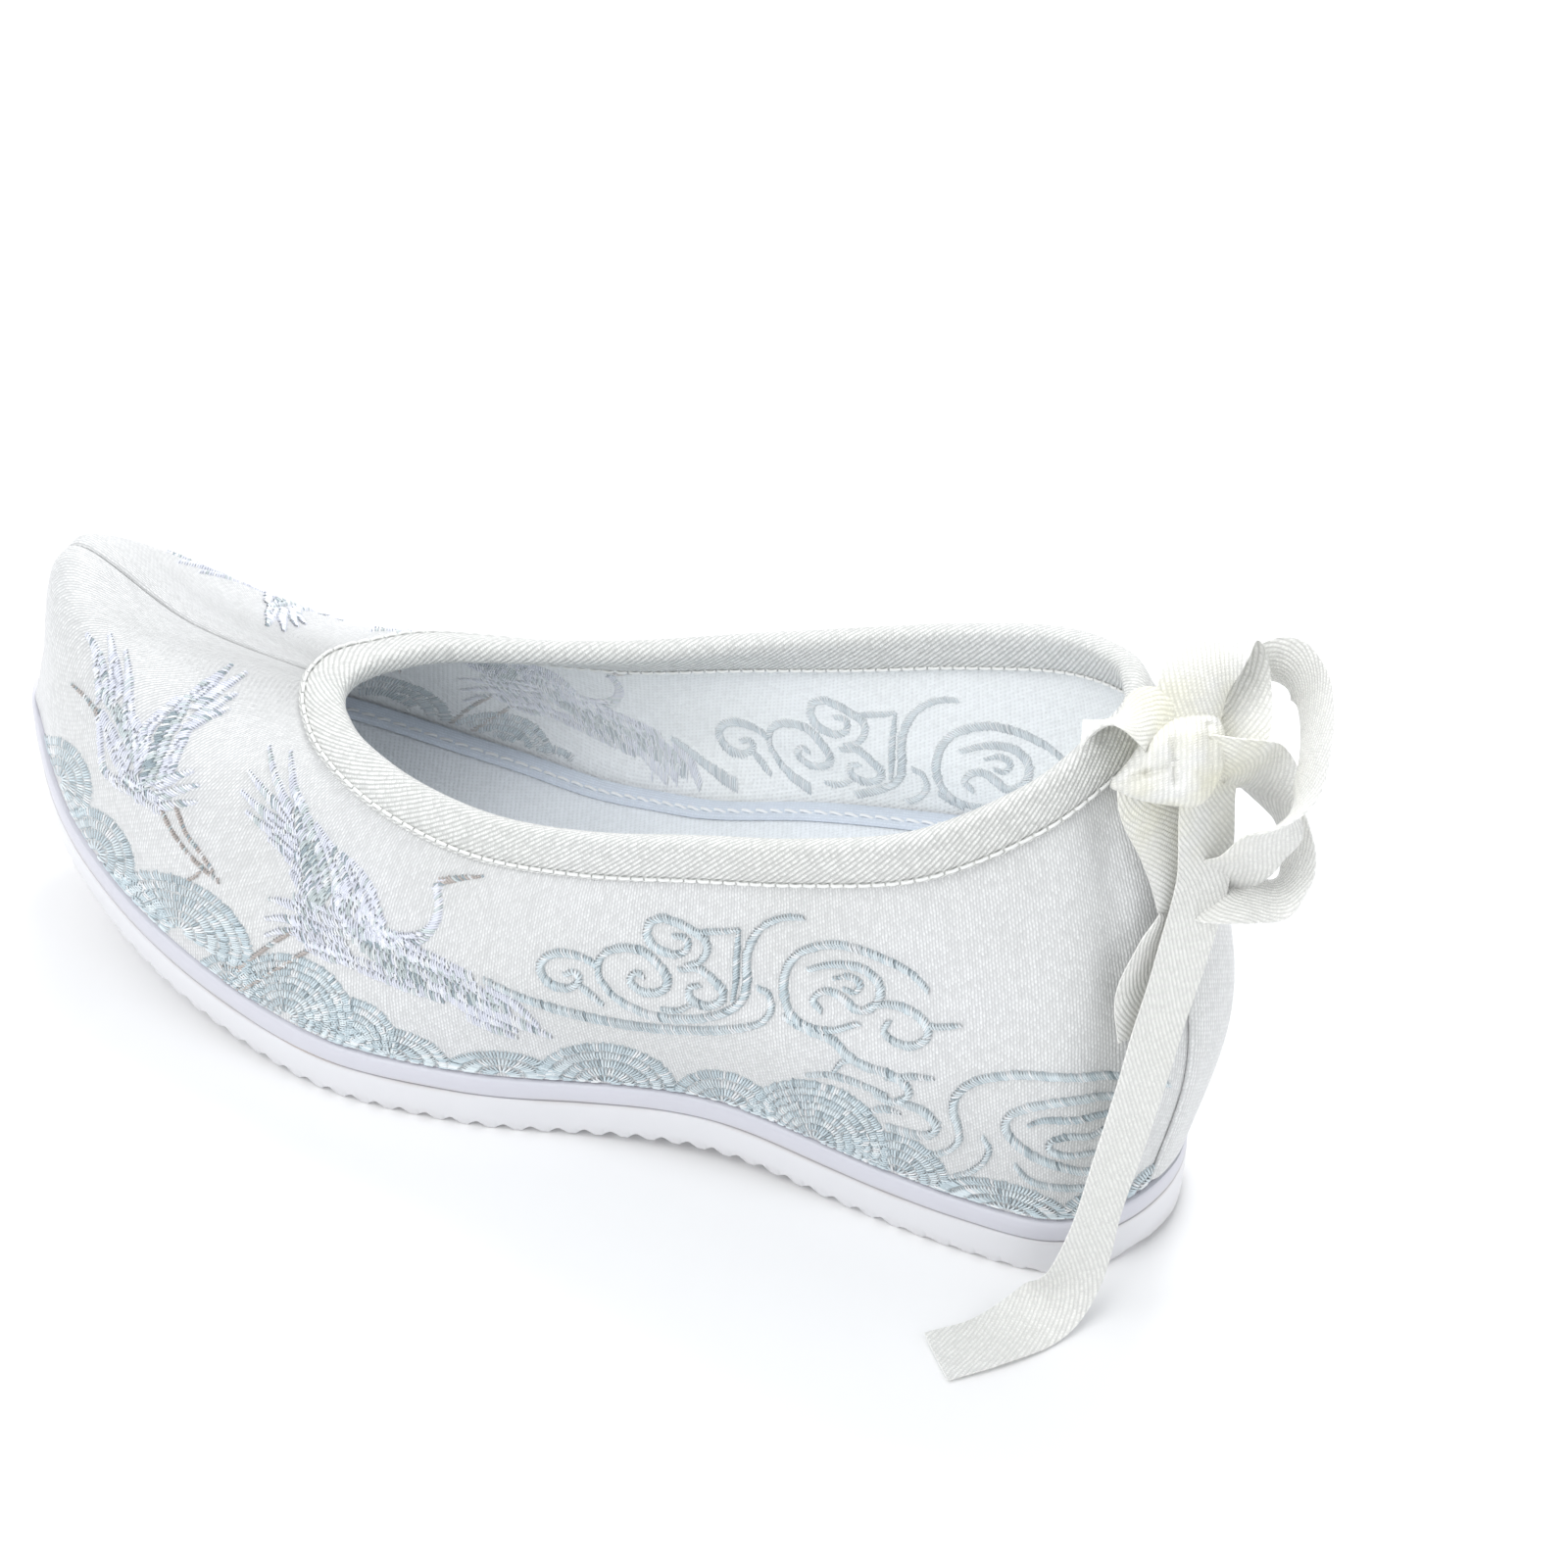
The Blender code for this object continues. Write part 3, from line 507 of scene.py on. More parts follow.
def wall_normal(along, up, side):
    """Outward direction of the upper's face."""
    along, up = np.broadcast_arrays(np.asarray(along, float), np.asarray(up, float))
    run = wall_point(np.clip(along + SLOPE_STEP, 0, LAST_SECTION), up, side)
    run = run - wall_point(np.clip(along - SLOPE_STEP, 0, LAST_SECTION), up, side)
    rise = wall_point(along, np.clip(up + SLOPE_STEP, 0, GUIDES_UP), side)
    rise = rise - wall_point(along, np.clip(up - SLOPE_STEP, 0, GUIDES_UP), side)
    on_seam = (along <= 0.0) | (along >= LAST_SECTION)
    run[on_seam, 0] = 0.0
    run[on_seam, 2] = 0.0
    rise[on_seam, 1] = 0.0
    return unit(np.cross(rise, run) * side)


# Soft troughs and ridges of the satin: both ends as (along, up), half width and height in mm, and the side
Crease = namedtuple("Crease", "along up along_end up_end width height side")
CREASES = (
    Crease(1.25, 3.3, 1.55, 1.1, 4.5, -1.1, 1),
    Crease(1.75, 3.4, 2.0, 1.6, 5.0, 0.6, 1),
    Crease(2.9, 3.2, 3.1, 2.2, 6.0, -0.5, 1),
    Crease(1.25, 3.3, 1.55, 1.1, 4.5, -1.0, -1),
    Crease(3.6, 3.3, 3.4, 1.8, 6.0, -0.6, -1),
    Crease(8.1, 2.9, 8.9, 1.7, 6.0, -0.5, 1),
    Crease(8.2, 2.9, 9.0, 1.5, 6.0, -0.5, -1),
)
# Millimetres of cloth to one step of along and of up
ALONG_MM = 22.0
UP_MM = 20.0
# Toe seam: where it starts to sink, counted along, and its fold and puffed edges in mm
SEAM_START = 9.0
SEAM_FADE = 2.0
SEAM_HALF = 0.5
SEAM_DEPTH = 0.8
SEAM_PUFF = 0.5
SEAM_PUFF_AT = 3.4
SEAM_PUFF_HALF = 2.6


def soft_line(places, start, end, width):
    """A soft ridge, 1 high, along a line in the plane of the places."""
    run = np.subtract(end, start)
    off = places - np.array(start)
    part = np.clip(off @ run / (run @ run), 0.0, 1.0)
    away = np.linalg.norm(off - part[..., None] * run, axis=-1)
    return np.exp(-((away / width) ** 2))


def relief(along, up, side):
    """Height of the satin over the last: creases, and the sunk toe seam between its puffed edges."""
    height = np.zeros(np.shape(along))
    places = np.stack([along * ALONG_MM, up * UP_MM], axis=-1)
    for crease in CREASES:
        if crease.side == side:
            start = (crease.along * ALONG_MM, crease.up * UP_MM)
            end = (crease.along_end * ALONG_MM, crease.up_end * UP_MM)
            height = height + crease.height * soft_line(places, start, end, crease.width)
    from_seam = np.abs(wall_point(along, up, side)[..., 1])
    near_toe = smooth_step((along - SEAM_START) / SEAM_FADE)
    sunk = -SEAM_DEPTH * np.exp(-((from_seam / SEAM_HALF) ** 2))
    puff = SEAM_PUFF * np.exp(-(((from_seam - SEAM_PUFF_AT) / SEAM_PUFF_HALF) ** 2))
    return height + near_toe * (sunk + puff * smooth_step(from_seam / SEAM_PUFF_AT))


def skin_point(along, up, side, lift):
    """A point over the satin's face by the given height."""
    along, up = np.broadcast_arrays(np.asarray(along, float), np.asarray(up, float))
    height = relief(along, up, side) + lift
    return wall_point(along, up, side) + wall_normal(along, up, side) * height[..., None]


def inside_point(along, up, side, depth):
    """A point under the wall's outer face by the given depth."""
    along, up = np.broadcast_arrays(np.asarray(along, float), np.asarray(up, float))
    depth = np.broadcast_to(depth, along.shape)
    return wall_point(along, up, side) - wall_normal(along, up, side) * depth[..., None]


def below_collar(along, side, distance):
    """The value of `up` at a distance down the wall from the collar's edge."""
    steps = np.linspace(GUIDES_UP, GUIDES_UP / 2, COLLAR_SAMPLES)
    lines = wall_point(along[:, None], steps[None, :], side)
    runs = np.cumsum(np.linalg.norm(np.diff(lines, axis=1), axis=2), axis=1)
    runs = np.hstack([np.zeros((len(along), 1)), runs])
    return np.array([np.interp(distance, run, steps) for run in runs])


def footbed_top(x):
    """Top of the insole: a smooth curve through the rows."""
    at = np.array([row.x for row in FOOTBED], float)
    top = np.array([row.top for row in FOOTBED], float)
    slope = np.gradient(top, at)
    x = np.clip(x, at[0], at[-1])
    first = np.clip(np.searchsorted(at, x) - 1, 0, len(at) - 2)
    span = at[first + 1] - at[first]
    part = (x - at[first]) / span
    rise = top[first + 1] - top[first]
    low, high = slope[first] * span, slope[first + 1] * span
    return top[first] + low * part + (3 * rise - 2 * low - high) * part**2 + (low + high - 2 * rise) * part**3


def footbed_level(places, side, inside):
    """The value of `up` where the wall's inner face meets the top of the footbed."""
    steps = np.linspace(0.0, GUIDES_UP / 2, FOOTBED_SAMPLES)
    lines = inside_point(places[:, None], steps[None, :], side, inside)
    over = lines[..., 2] - footbed_top(lines[..., 0])
    return np.array([np.interp(0.0, line, steps) for line in over])


# Meshes

def lattice(points, uv, wrap_rows, wrap_columns):
    """Points, faces and corner UVs of a grid of points, with its rows or columns closed on themselves."""
    rows, columns = points.shape[:2]
    row, column = np.meshgrid(
        np.arange(rows if wrap_rows else rows - 1),
        np.arange(columns if wrap_columns else columns - 1),
        indexing="ij",
    )
    row, column = row.ravel(), column.ravel()
    corners = ((row, column), (row + 1, column), (row + 1, column + 1), (row, column + 1))
    faces = np.stack([a % rows * columns + b % columns for a, b in corners], axis=1)
    corner_uv = np.stack([uv[a, b] for a, b in corners], axis=1)
    return points.reshape(-1, 3), faces, corner_uv, column


def add_piece(name, points, faces, corner_uv, materials, material_index=None):
    """A smooth mesh object with its UVs in millimetres of cloth."""
    mesh = bpy.data.meshes.new(name)
    mesh.from_pydata((np.asarray(points) * MM).tolist(), [], [list(map(int, face)) for face in faces])
    layer = mesh.uv_layers.new(name="Cloth")
    layer.data.foreach_set("uv", np.concatenate([np.asarray(uv, np.float32).ravel() for uv in corner_uv]))
    for finish in materials:
        mesh.materials.append(finish)
    if material_index is not None:
        mesh.polygons.foreach_set("material_index", np.asarray(material_index, np.int32))
    shape = bmesh.new()
    shape.from_mesh(mesh)
    bmesh.ops.recalc_face_normals(shape, faces=shape.faces)
    shape.to_mesh(mesh)
    shape.free()
    mesh.shade_smooth()
    mesh.set_sharp_from_angle(angle=SHARP_ANGLE)
    piece = bpy.data.objects.new(name, mesh)
    bpy.context.scene.collection.objects.link(piece)
    return piece


def run_length(points):
    """Distance covered along a row of points."""
    return np.concatenate([[0.0], np.cumsum(np.linalg.norm(np.diff(points, axis=0), axis=1))])


def close(points):
    return np.concatenate([points, points[:1]])


def ring_uv(ring, along):
    """UVs of rows of rings: the place on the ring and the distance along the rows."""
    return np.stack(np.broadcast_arrays(ring[None, :], along[:, None]), axis=-1)


def tube_piece(name, points, uv, finish, end_uv=None):
    """A piece of rows of rings, with both ends closed."""
    flat, faces, corner_uv, _ = lattice(points, uv, False, True)
    rows, columns = points.shape[:2]
    ends = [list(range(columns)), list(range((rows - 1) * columns, rows * columns))]
    faces = [list(face) for face in faces] + ends
    end_uv = np.zeros((columns, 2)) if end_uv is None else end_uv
    return add_piece(name, flat, faces, list(corner_uv) + [end_uv] * 2, [finish])


# Node trees

class Net:
    """Adds nodes to one tree and joins them."""

    def __init__(self, tree):
        self.tree = tree

    def add(self, kind, inputs=None, **settings):
        made = self.tree.nodes.new(kind)
        for name, value in settings.items():
            setattr(made, name, value)
        for name, value in (inputs or {}).items():
            self.feed(made.inputs[name], value)
        return made

    def feed(self, socket, value):
        if isinstance(value, bpy.types.NodeSocket):
            self.tree.links.new(value, socket)
        else:
            socket.default_value = value

    def math(self, operation, *values):
        made = self.tree.nodes.new("ShaderNodeMath")
        made.operation = operation
        for place, value in enumerate(values):
            self.feed(made.inputs[place], value)
        return made.outputs[0]

    def mix(self, part, first, second, blend="MIX"):
        made = self.add("ShaderNodeMix", data_type="RGBA", blend_type=blend)
        for place, value in ((0, part), (6, first), (7, second)):
            self.feed(made.inputs[place], value)
        return made.outputs[2]

    def tint(self, first, second):
        """Product of two colours."""
        return self.mix(1.0, first, second, "MULTIPLY")

    def noise(self, place, scale, detail=2.0):
        inputs = {"Vector": place, "Scale": scale, "Detail": detail}
        return self.add("ShaderNodeTexNoise", inputs).outputs["Fac"]

    def ramp(self, value, start, end, most=1.0, kind="LINEAR"):
        """Grows from nothing where the value is `start` to `most` where it is `end`."""
        inputs = {"Value": value, "From Min": start, "From Max": end, "To Max": most}
        return self.add("ShaderNodeMapRange", inputs, interpolation_type=kind).outputs["Result"]


def new_group(name, kind, inputs, outputs):
    tree = bpy.data.node_groups.new(name, kind)
    for label, socket, default in inputs:
        made = tree.interface.new_socket(name=label, in_out="INPUT", socket_type=socket)
        if default is not None:
            made.default_value = default
    for label, socket in outputs:
        tree.interface.new_socket(name=label, in_out="OUTPUT", socket_type=socket)
    net = Net(tree)
    return net, net.add("NodeGroupInput"), net.add("NodeGroupOutput")


# Weave: how far and how often the ribs sway, how full they are, and how the painted glints on single threads
# and the fuzz change them
WEAVE_SWAY = 0.5
WEAVE_SWAY_SCALE = 0.6
WEAVE_FULLNESS = 0.6
WEAVE_GLINT_CHANGE = 0.8
WEAVE_GLINT_LEAST = 0.45
WEAVE_FUZZ_SCALE = 4.0
WEAVE_FUZZ = 0.2


def swing(net, turns):
    """A wave between 0 and 1, once for each turn."""
    return net.math("MULTIPLY_ADD", net.math("SINE", net.math("MULTIPLY", turns, 2.0 * math.pi)), 0.5, 0.5)


def weave_group():
    """Ribs that lean across the cloth, crossed by the threads that pass over and under them. Its shade is
    painted shade in the grooves and holes, with painted glints on single threads.
    """
    found = bpy.data.node_groups.get("Weave")
    if found:
        return found
    net, given, result = new_group(
        "Weave",
        "ShaderNodeTree",
        (
            ("Cloth", "NodeSocketVector", None),
            ("Rib pitch", "NodeSocketFloat", 1.0),
            ("Cross pitch", "NodeSocketFloat", 1.0),
            ("Lean", "NodeSocketFloat", 0.0),
            ("Cross share", "NodeSocketFloat", 0.4),
            ("Grid", "NodeSocketFloat", 0.0),
        ),
        (("Height", "NodeSocketFloat"), ("Shade", "NodeSocketFloat")),
    )
    place = net.add("ShaderNodeSeparateXYZ", {"Vector": given.outputs["Cloth"]})
    wobble = net.noise(given.outputs["Cloth"], WEAVE_SWAY_SCALE)
    sway = net.math("MULTIPLY", net.math("SUBTRACT", wobble, 0.5), WEAVE_SWAY)
    lean_y = net.math("MULTIPLY", given.outputs["Lean"], place.outputs["Y"])
    lean_x = net.math("MULTIPLY", given.outputs["Lean"], place.outputs["X"])
    across = net.math("ADD", net.math("ADD", place.outputs["X"], lean_y), sway)
    across = net.math("DIVIDE", across, given.outputs["Rib pitch"])
    rib = net.math("POWER", swing(net, across), WEAVE_FULLNESS)
    down = net.math("DIVIDE", net.math("SUBTRACT", place.outputs["Y"], lean_x), given.outputs["Cross pitch"])
    shifted = net.math("ADD", down, net.math("MULTIPLY", net.math("FLOOR", across), 0.5))
    cross = swing(net, shifted)
    share = given.outputs["Cross share"]
    keep = net.math("SUBTRACT", 1.0, share)
    twill = net.math("MULTIPLY", rib, net.math("ADD", keep, net.math("MULTIPLY", cross, share)))
    bar = swing(net, down)
    hole = net.math("MULTIPLY", net.math("SUBTRACT", 1.0, rib), net.math("SUBTRACT", 1.0, bar))
    grid = net.math("SUBTRACT", 1.0, hole)
    height = net.math("MULTIPLY_ADD", net.math("SUBTRACT", grid, twill), given.outputs["Grid"], twill)
    inputs = {"X": net.math("FLOOR", across), "Y": net.math("FLOOR", shifted)}
    thread = net.add("ShaderNodeCombineXYZ", inputs)
    lot = net.add("ShaderNodeTexWhiteNoise", {"Vector": thread.outputs[0]}, noise_dimensions="2D")
    bright = net.math("MULTIPLY_ADD", lot.outputs["Value"], WEAVE_GLINT_CHANGE, WEAVE_GLINT_LEAST)
    glint = net.math("MULTIPLY", height, bright)
    fuzz = net.noise(given.outputs["Cloth"], WEAVE_FUZZ_SCALE, detail=3.0)
    shade = net.math("ADD", glint, net.math("MULTIPLY", fuzz, WEAVE_FUZZ))
    net.feed(result.inputs["Height"], height)
    net.feed(result.inputs["Shade"], shade)
    return net.tree


PATCH_LOW = 0.35
PATCH_HIGH = 0.7


def patch_group():
    """Slow change over the object: handling, dye and dust."""
    found = bpy.data.node_groups.get("Patches")
    if found:
        return found
    net, given, result = new_group(
        "Patches",
        "ShaderNodeTree",
        (("Place", "NodeSocketVector", None), ("Patch scale", "NodeSocketFloat", 20.0)),
        (("Mask", "NodeSocketFloat"),),
    )
    noise = net.noise(given.outputs["Place"], given.outputs["Patch scale"], detail=4.0)
    net.feed(result.inputs["Mask"], net.ramp(noise, PATCH_LOW, PATCH_HIGH))
    return net.tree


def patch_mask(net, place, scale):
    patches = net.add("ShaderNodeGroup", node_tree=patch_group())
    net.feed(patches.inputs["Place"], place.outputs["Object"])
    patches.inputs["Patch scale"].default_value = scale
    return patches.outputs["Mask"]


Weave = namedtuple("Weave", "rib cross lean share relief grid", defaults=(0.0,))
WHITE = (1.0, 1.0, 1.0, 1.0)
CLOTH_PATCHES = 26.0
CLOTH_GLOSS_CHANGE = -0.12
CLOTH_BUMP = 0.8
SHEEN_ROUGHNESS = 0.4
# Dust is a little yellow
DUST_BLUE = 0.985


def new_material(name):
    made = bpy.data.materials.new(name)
    made.use_nodes = True
    net = Net(made.node_tree)
    return made, net, made.node_tree.nodes["Principled BSDF"]


def rgba(colour):
    return (*colour[:3], 1.0)


def scaled(colour, factor):
    return tuple(value * factor for value in colour[:3])


def cloth_material(name, colour, weave, roughness, sheen, deep=0.82, soil=0.96, specular=0.4):
    """Woven cloth: ribs in colour, darker in their grooves as painted shade and with painted glints, gloss
    and relief, and slow soft soiling.
    """
    made, net, shader = new_material(name)
    cloth = net.add("ShaderNodeUVMap", uv_map="Cloth")
    place = net.add("ShaderNodeTexCoord")
    ribs = net.add("ShaderNodeGroup", node_tree=weave_group())
    net.feed(ribs.inputs["Cloth"], cloth.outputs["UV"])
    for socket, value in zip(("Rib pitch", "Cross pitch", "Lean", "Cross share"), weave[:4]):
        ribs.inputs[socket].default_value = value
    ribs.inputs["Grid"].default_value = weave.grid
    patches = patch_mask(net, place, CLOTH_PATCHES)
    # Painted shade: the cloth's colour darkened by deep in the weave's grooves, with painted glints
    woven = net.mix(ribs.outputs["Shade"], rgba(scaled(colour, deep)), rgba(colour))
    worn = net.mix(patches, rgba((soil, soil, soil * DUST_BLUE)), WHITE)
    net.feed(shader.inputs["Base Color"], net.tint(woven, worn))
    dull = roughness - CLOTH_GLOSS_CHANGE / 2
    gloss = net.math("MULTIPLY_ADD", ribs.outputs["Shade"], CLOTH_GLOSS_CHANGE, dull)
    net.feed(shader.inputs["Roughness"], gloss)
    inputs = {"Height": ribs.outputs["Height"], "Strength": CLOTH_BUMP, "Distance": weave.relief * MM}
    bump = net.add("ShaderNodeBump", inputs)
    net.feed(shader.inputs["Normal"], bump.outputs["Normal"])
    shader.inputs["Sheen Weight"].default_value = sheen
    shader.inputs["Sheen Roughness"].default_value = SHEEN_ROUGHNESS
    shader.inputs["Specular IOR Level"].default_value = specular
    return made


def sizes():
    return bpy.context.scene.cloth_shoe_sizes


def colours():
    return bpy.context.scene.cloth_shoe_colours


def finish_piece(piece, slot, *nodes):
    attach(piece, BODY)
    if nodes:
        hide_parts(*nodes)


# Sizes and colours that a user would change

def length_property(name, description, default):
    return bpy.props.FloatProperty(
        name=name, description=description, default=default, min=0.00005, max=0.1, unit="LENGTH", precision=5
    )


def colour_property(name, description, screen):
    return bpy.props.FloatVectorProperty(
        name=name, description=description, default=srgb(*screen), size=3, min=0.0, max=1.0, subtype="COLOR"
    )


class ClothShoeSizes(bpy.types.PropertyGroup):
    """Sizes of the shoe's cloth and thread."""

    ribbon_width: length_property("Ribbon width", "Width of the bow's tape", 0.012)
    ribbon_rib: length_property("Ribbon rib", "Distance between the ribbon's twill ribs", 0.00095)
    binding_rib: length_property("Binding rib", "Distance between the collar tape's twill ribs", 0.0012)
    satin_rib: length_property("Satin rib", "Distance between the satin's fine ribs", 0.0006)
    thread: length_property("Thread", "Thickness of the embroidery thread", 0.00042)
    stitch_pitch: length_property("Stitch pitch", "Distance between stitches side by side", 0.0005)
    seam_stitch: length_property("Seam stitch", "Length of a stitch in the tapes", 0.0022)


class ClothShoeColours(bpy.types.PropertyGroup):
    """Colours of the shoe's cloth, thread and rubber."""

    satin: colour_property("Satin", "Outer cloth of the upper", (241, 242, 243))
    lining: colour_property("Lining", "Inner cloth of the upper", (252, 254, 255))
    binding: colour_property("Binding", "Tape over the collar", (248, 249, 247))
    ribbon: colour_property("Ribbon", "Tape of the bow", (255, 255, 252))
    rubber: colour_property("Rubber", "Lower band of the sole", (228, 228, 231))
    rubber_rim: colour_property("Rubber rim", "Upper band of the sole", (210, 210, 218))
    canvas: colour_property("Canvas", "Top of the insole", (246, 250, 255))
    piping: colour_property("Piping", "Tape round the insole", (228, 236, 248))
    wave: colour_property("Wave thread", "Thread of the waves and clouds", (226, 235, 238))
    wave_deep: colour_property("Deep wave thread", "Darker thread of the waves and clouds", (206, 219, 224))
    feather: colour_property("Feather thread", "Thread of the cranes", (239, 241, 251))
    feather_shade: colour_property(
        "Feather shade thread", "Shaded bands of the cranes' wings", (214, 223, 223)
    )
    # Painted shade: a darker thread laid low between the stitches stands in for the shade in the gaps between
    # them
    gap_shade: colour_property("Gap shade thread", "Thread that lies low between the stitches", (170, 184, 190))
    leg: colour_property("Leg thread", "Beaks and legs of the cranes", (196, 186, 180))
    floor: colour_property("Floor", "Ground of the stage", (250, 250, 250))


# Operators

class CLOTHSHOE_OT_stage(bpy.types.Operator):
    """Set the camera, the floor and the studio light"""

    bl_idname = "cloth_shoe.stage"
    bl_label = "Stage"

    def execute(self, context):
        build_camera(context.scene)
        build_floor()
        build_lights(context.scene)
        return {"FINISHED"}


def view_direction():
    """From the target to the camera."""
    return np.array(
        [
            -math.sin(VIEW_TURN) * math.cos(VIEW_RISE),
            math.cos(VIEW_TURN) * math.cos(VIEW_RISE),
            math.sin(VIEW_RISE),
        ]
    )


def build_camera(scene):
    towards = view_direction()
    lens = bpy.data.cameras.new("Camera")
    lens.lens = VIEW_LENS
    lens.sensor_width = VIEW_SENSOR
    lens.clip_start = VIEW_NEAR * MM
    camera = bpy.data.objects.new("Camera", lens)
    camera.location = Vector((np.array(VIEW_TARGET) + towards * VIEW_DISTANCE) * MM)
    camera.rotation_euler = Vector(towards).to_track_quat("Z", "Y").to_euler()
    scene.collection.objects.link(camera)
    scene.camera = camera


FLOOR_PATCHES = 3.0
FLOOR_SHADE = 0.985
FLOOR_ROUGHNESS = 0.8
FLOOR_HALF = 4000.0


def build_floor():
    made, net, shader = new_material("Floor")
    place = net.add("ShaderNodeTexCoord")
    patches = patch_mask(net, place, FLOOR_PATCHES)
    tone = colours().floor
    net.feed(shader.inputs["Base Color"], net.mix(patches, rgba(scaled(tone, FLOOR_SHADE)), rgba(tone)))
    shader.inputs["Roughness"].default_value = FLOOR_ROUGHNESS
    half = FLOOR_HALF
    points = [(-half, -half, 0), (half, -half, 0), (half, half, 0), (-half, half, 0)]
    floor = add_piece("floor", points, [(0, 1, 2, 3)], [np.zeros((4, 2))], [made])


Lamp = namedtuple("Lamp", "name place target size power")
LAMPS = (
    Lamp("Key box", (100, -600, 1000), (0, 0, 60), 500, 6.4),
    Lamp("Front fill", (240, 720, 1060), (-10, 0, 60), 800, 7.0),
    Lamp("Rear fill", (-900, -120, 480), (-60, 0, 60), 600, 0.8),
)
SKY = (0.95, 0.97, 1.0)
SKY_STRENGTH = 0.76


def build_lights(scene):
    for lamp in LAMPS:
        light = bpy.data.lights.new(lamp.name, "AREA")
        light.energy = lamp.power
        light.size = lamp.size * MM
        made = bpy.data.objects.new(lamp.name, light)
        made.location = Vector(lamp.place) * MM
        made.rotation_euler = (Vector(lamp.place) - Vector(lamp.target)).to_track_quat("Z", "Y").to_euler()
        scene.collection.objects.link(made)
    scene.world = scene.world or bpy.data.worlds.new("World")
    scene.world.use_nodes = True
    sky = scene.world.node_tree.nodes["Background"]
    sky.inputs["Color"].default_value = rgba(SKY)
    sky.inputs["Strength"].default_value = SKY_STRENGTH
    scene.view_settings.view_transform = "Standard"


class CLOTHSHOE_OT_ribbon(bpy.types.Operator):
    """Make the bow: the knot, its three loops, the tie end and the two tails"""

    bl_idname = "cloth_shoe.ribbon"
    bl_label = "Ribbon bow"

    def execute(self, context):
        tape = ribbon_material()
        knot = build_knot(tape)
        finish_piece(knot, "ribbon", "ribbon_knot")
        for name, rows, node in (
            ("ribbon_tie_end", TIE_RUN, "ribbon_tie"),
            ("ribbon_top_loop", TOP_LOOP_RUN, "ribbon_loop_top"),
            ("ribbon_back_loop", BACK_LOOP_RUN, "ribbon_loop_back"),
            ("ribbon_low_loop", LOW_LOOP_RUN, "ribbon_loop_low"),
            ("ribbon_short_tail", SHORT_TAIL_RUN, "ribbon_tail_short"),
        ):
            camber = TOP_LOOP_CAMBER if rows is TOP_LOOP_RUN else RIBBON_CAMBER
            piece, _ = build_tape(name, rows, tape, camber)
            finish_piece(piece, "ribbon", node)
        long_tail, path = build_tape("ribbon_long_tail", LONG_TAIL_RUN, tape, RIBBON_CAMBER)
        finish_piece(long_tail, "ribbon", "ribbon_tail_long")
        declare_cord(long_tail, path)
        return {"FINISHED"}


RIBBON_LEAN = 0.62
# Painted warm shade, cream in colour, in the folds by the knot: how far it reaches, and where it is full
KNOT_SHADE_REACH = 26.0
KNOT_SHADE_CORE = KNOT_SHADE_REACH / 3.0
KNOT_SHADE_PATCHES = 110.0
KNOT_SHADE_TONE = (0.97, 0.955, 0.83)


def ribbon_material():
    """White twill with painted cream shade in the folds by the knot."""
    rib = sizes().ribbon_rib / MM
    weave = Weave(rib=rib, cross=0.6, lean=RIBBON_LEAN, share=0.5, relief=0.24)
    made = cloth_material("Ribbon twill", colours().ribbon, weave, roughness=0.5, sheen=0.2, deep=0.74)
    net = Net(made.node_tree)
    shader = made.node_tree.nodes["Principled BSDF"]
    white = shader.inputs["Base Color"].links[0].from_socket
    place = net.add("ShaderNodeTexCoord")
    middle = tuple((in_bow((*KNOT_MIDDLE, KNOT_OUT)) + BOW_CENTRE) * MM)
    away = net.add("ShaderNodeVectorMath", {0: place.outputs["Object"], 1: middle}, operation="DISTANCE")
    near = net.ramp(away.outputs["Value"], KNOT_SHADE_REACH * MM, KNOT_SHADE_CORE * MM, kind="SMOOTHSTEP")
    patches = patch_mask(net, place, KNOT_SHADE_PATCHES)
    share = net.math("MULTIPLY", near, patches)
    # Painted cream shade in patches round the knot
    net.feed(shader.inputs["Base Color"], net.tint(white, net.mix(share, WHITE, rgba(KNOT_SHADE_TONE))))
    return made


def declare_cord(piece, path):
    points = path * MM
    tuple(points[0])
    round(float(run_length(points)[-1]), 3)
    [tuple(point) for point in points]


def tape_frames(rows):
    """Middle points, run and width directions of a tape, at even steps along it."""
    line = np.array([(row.x, row.y, row.z) for row in rows])
    across = unit(np.array([row.across for row in rows], float))
    fine = np.linspace(0.0, len(rows) - 1.0, len(rows) * RIBBON_SAMPLES)
    covered = run_length(through(line, fine))
    count = max(int(covered[-1] / RIBBON_STEP), RIBBON_LEAST_STEPS)
    at = np.interp(np.linspace(0.0, covered[-1], count), covered, fine)
    middle = through(line, at)
    run = unit(np.gradient(middle, axis=0))
    width = through(across, at)
    width = unit(width - run * np.sum(width * run, axis=1, keepdims=True))
    return middle, run, width


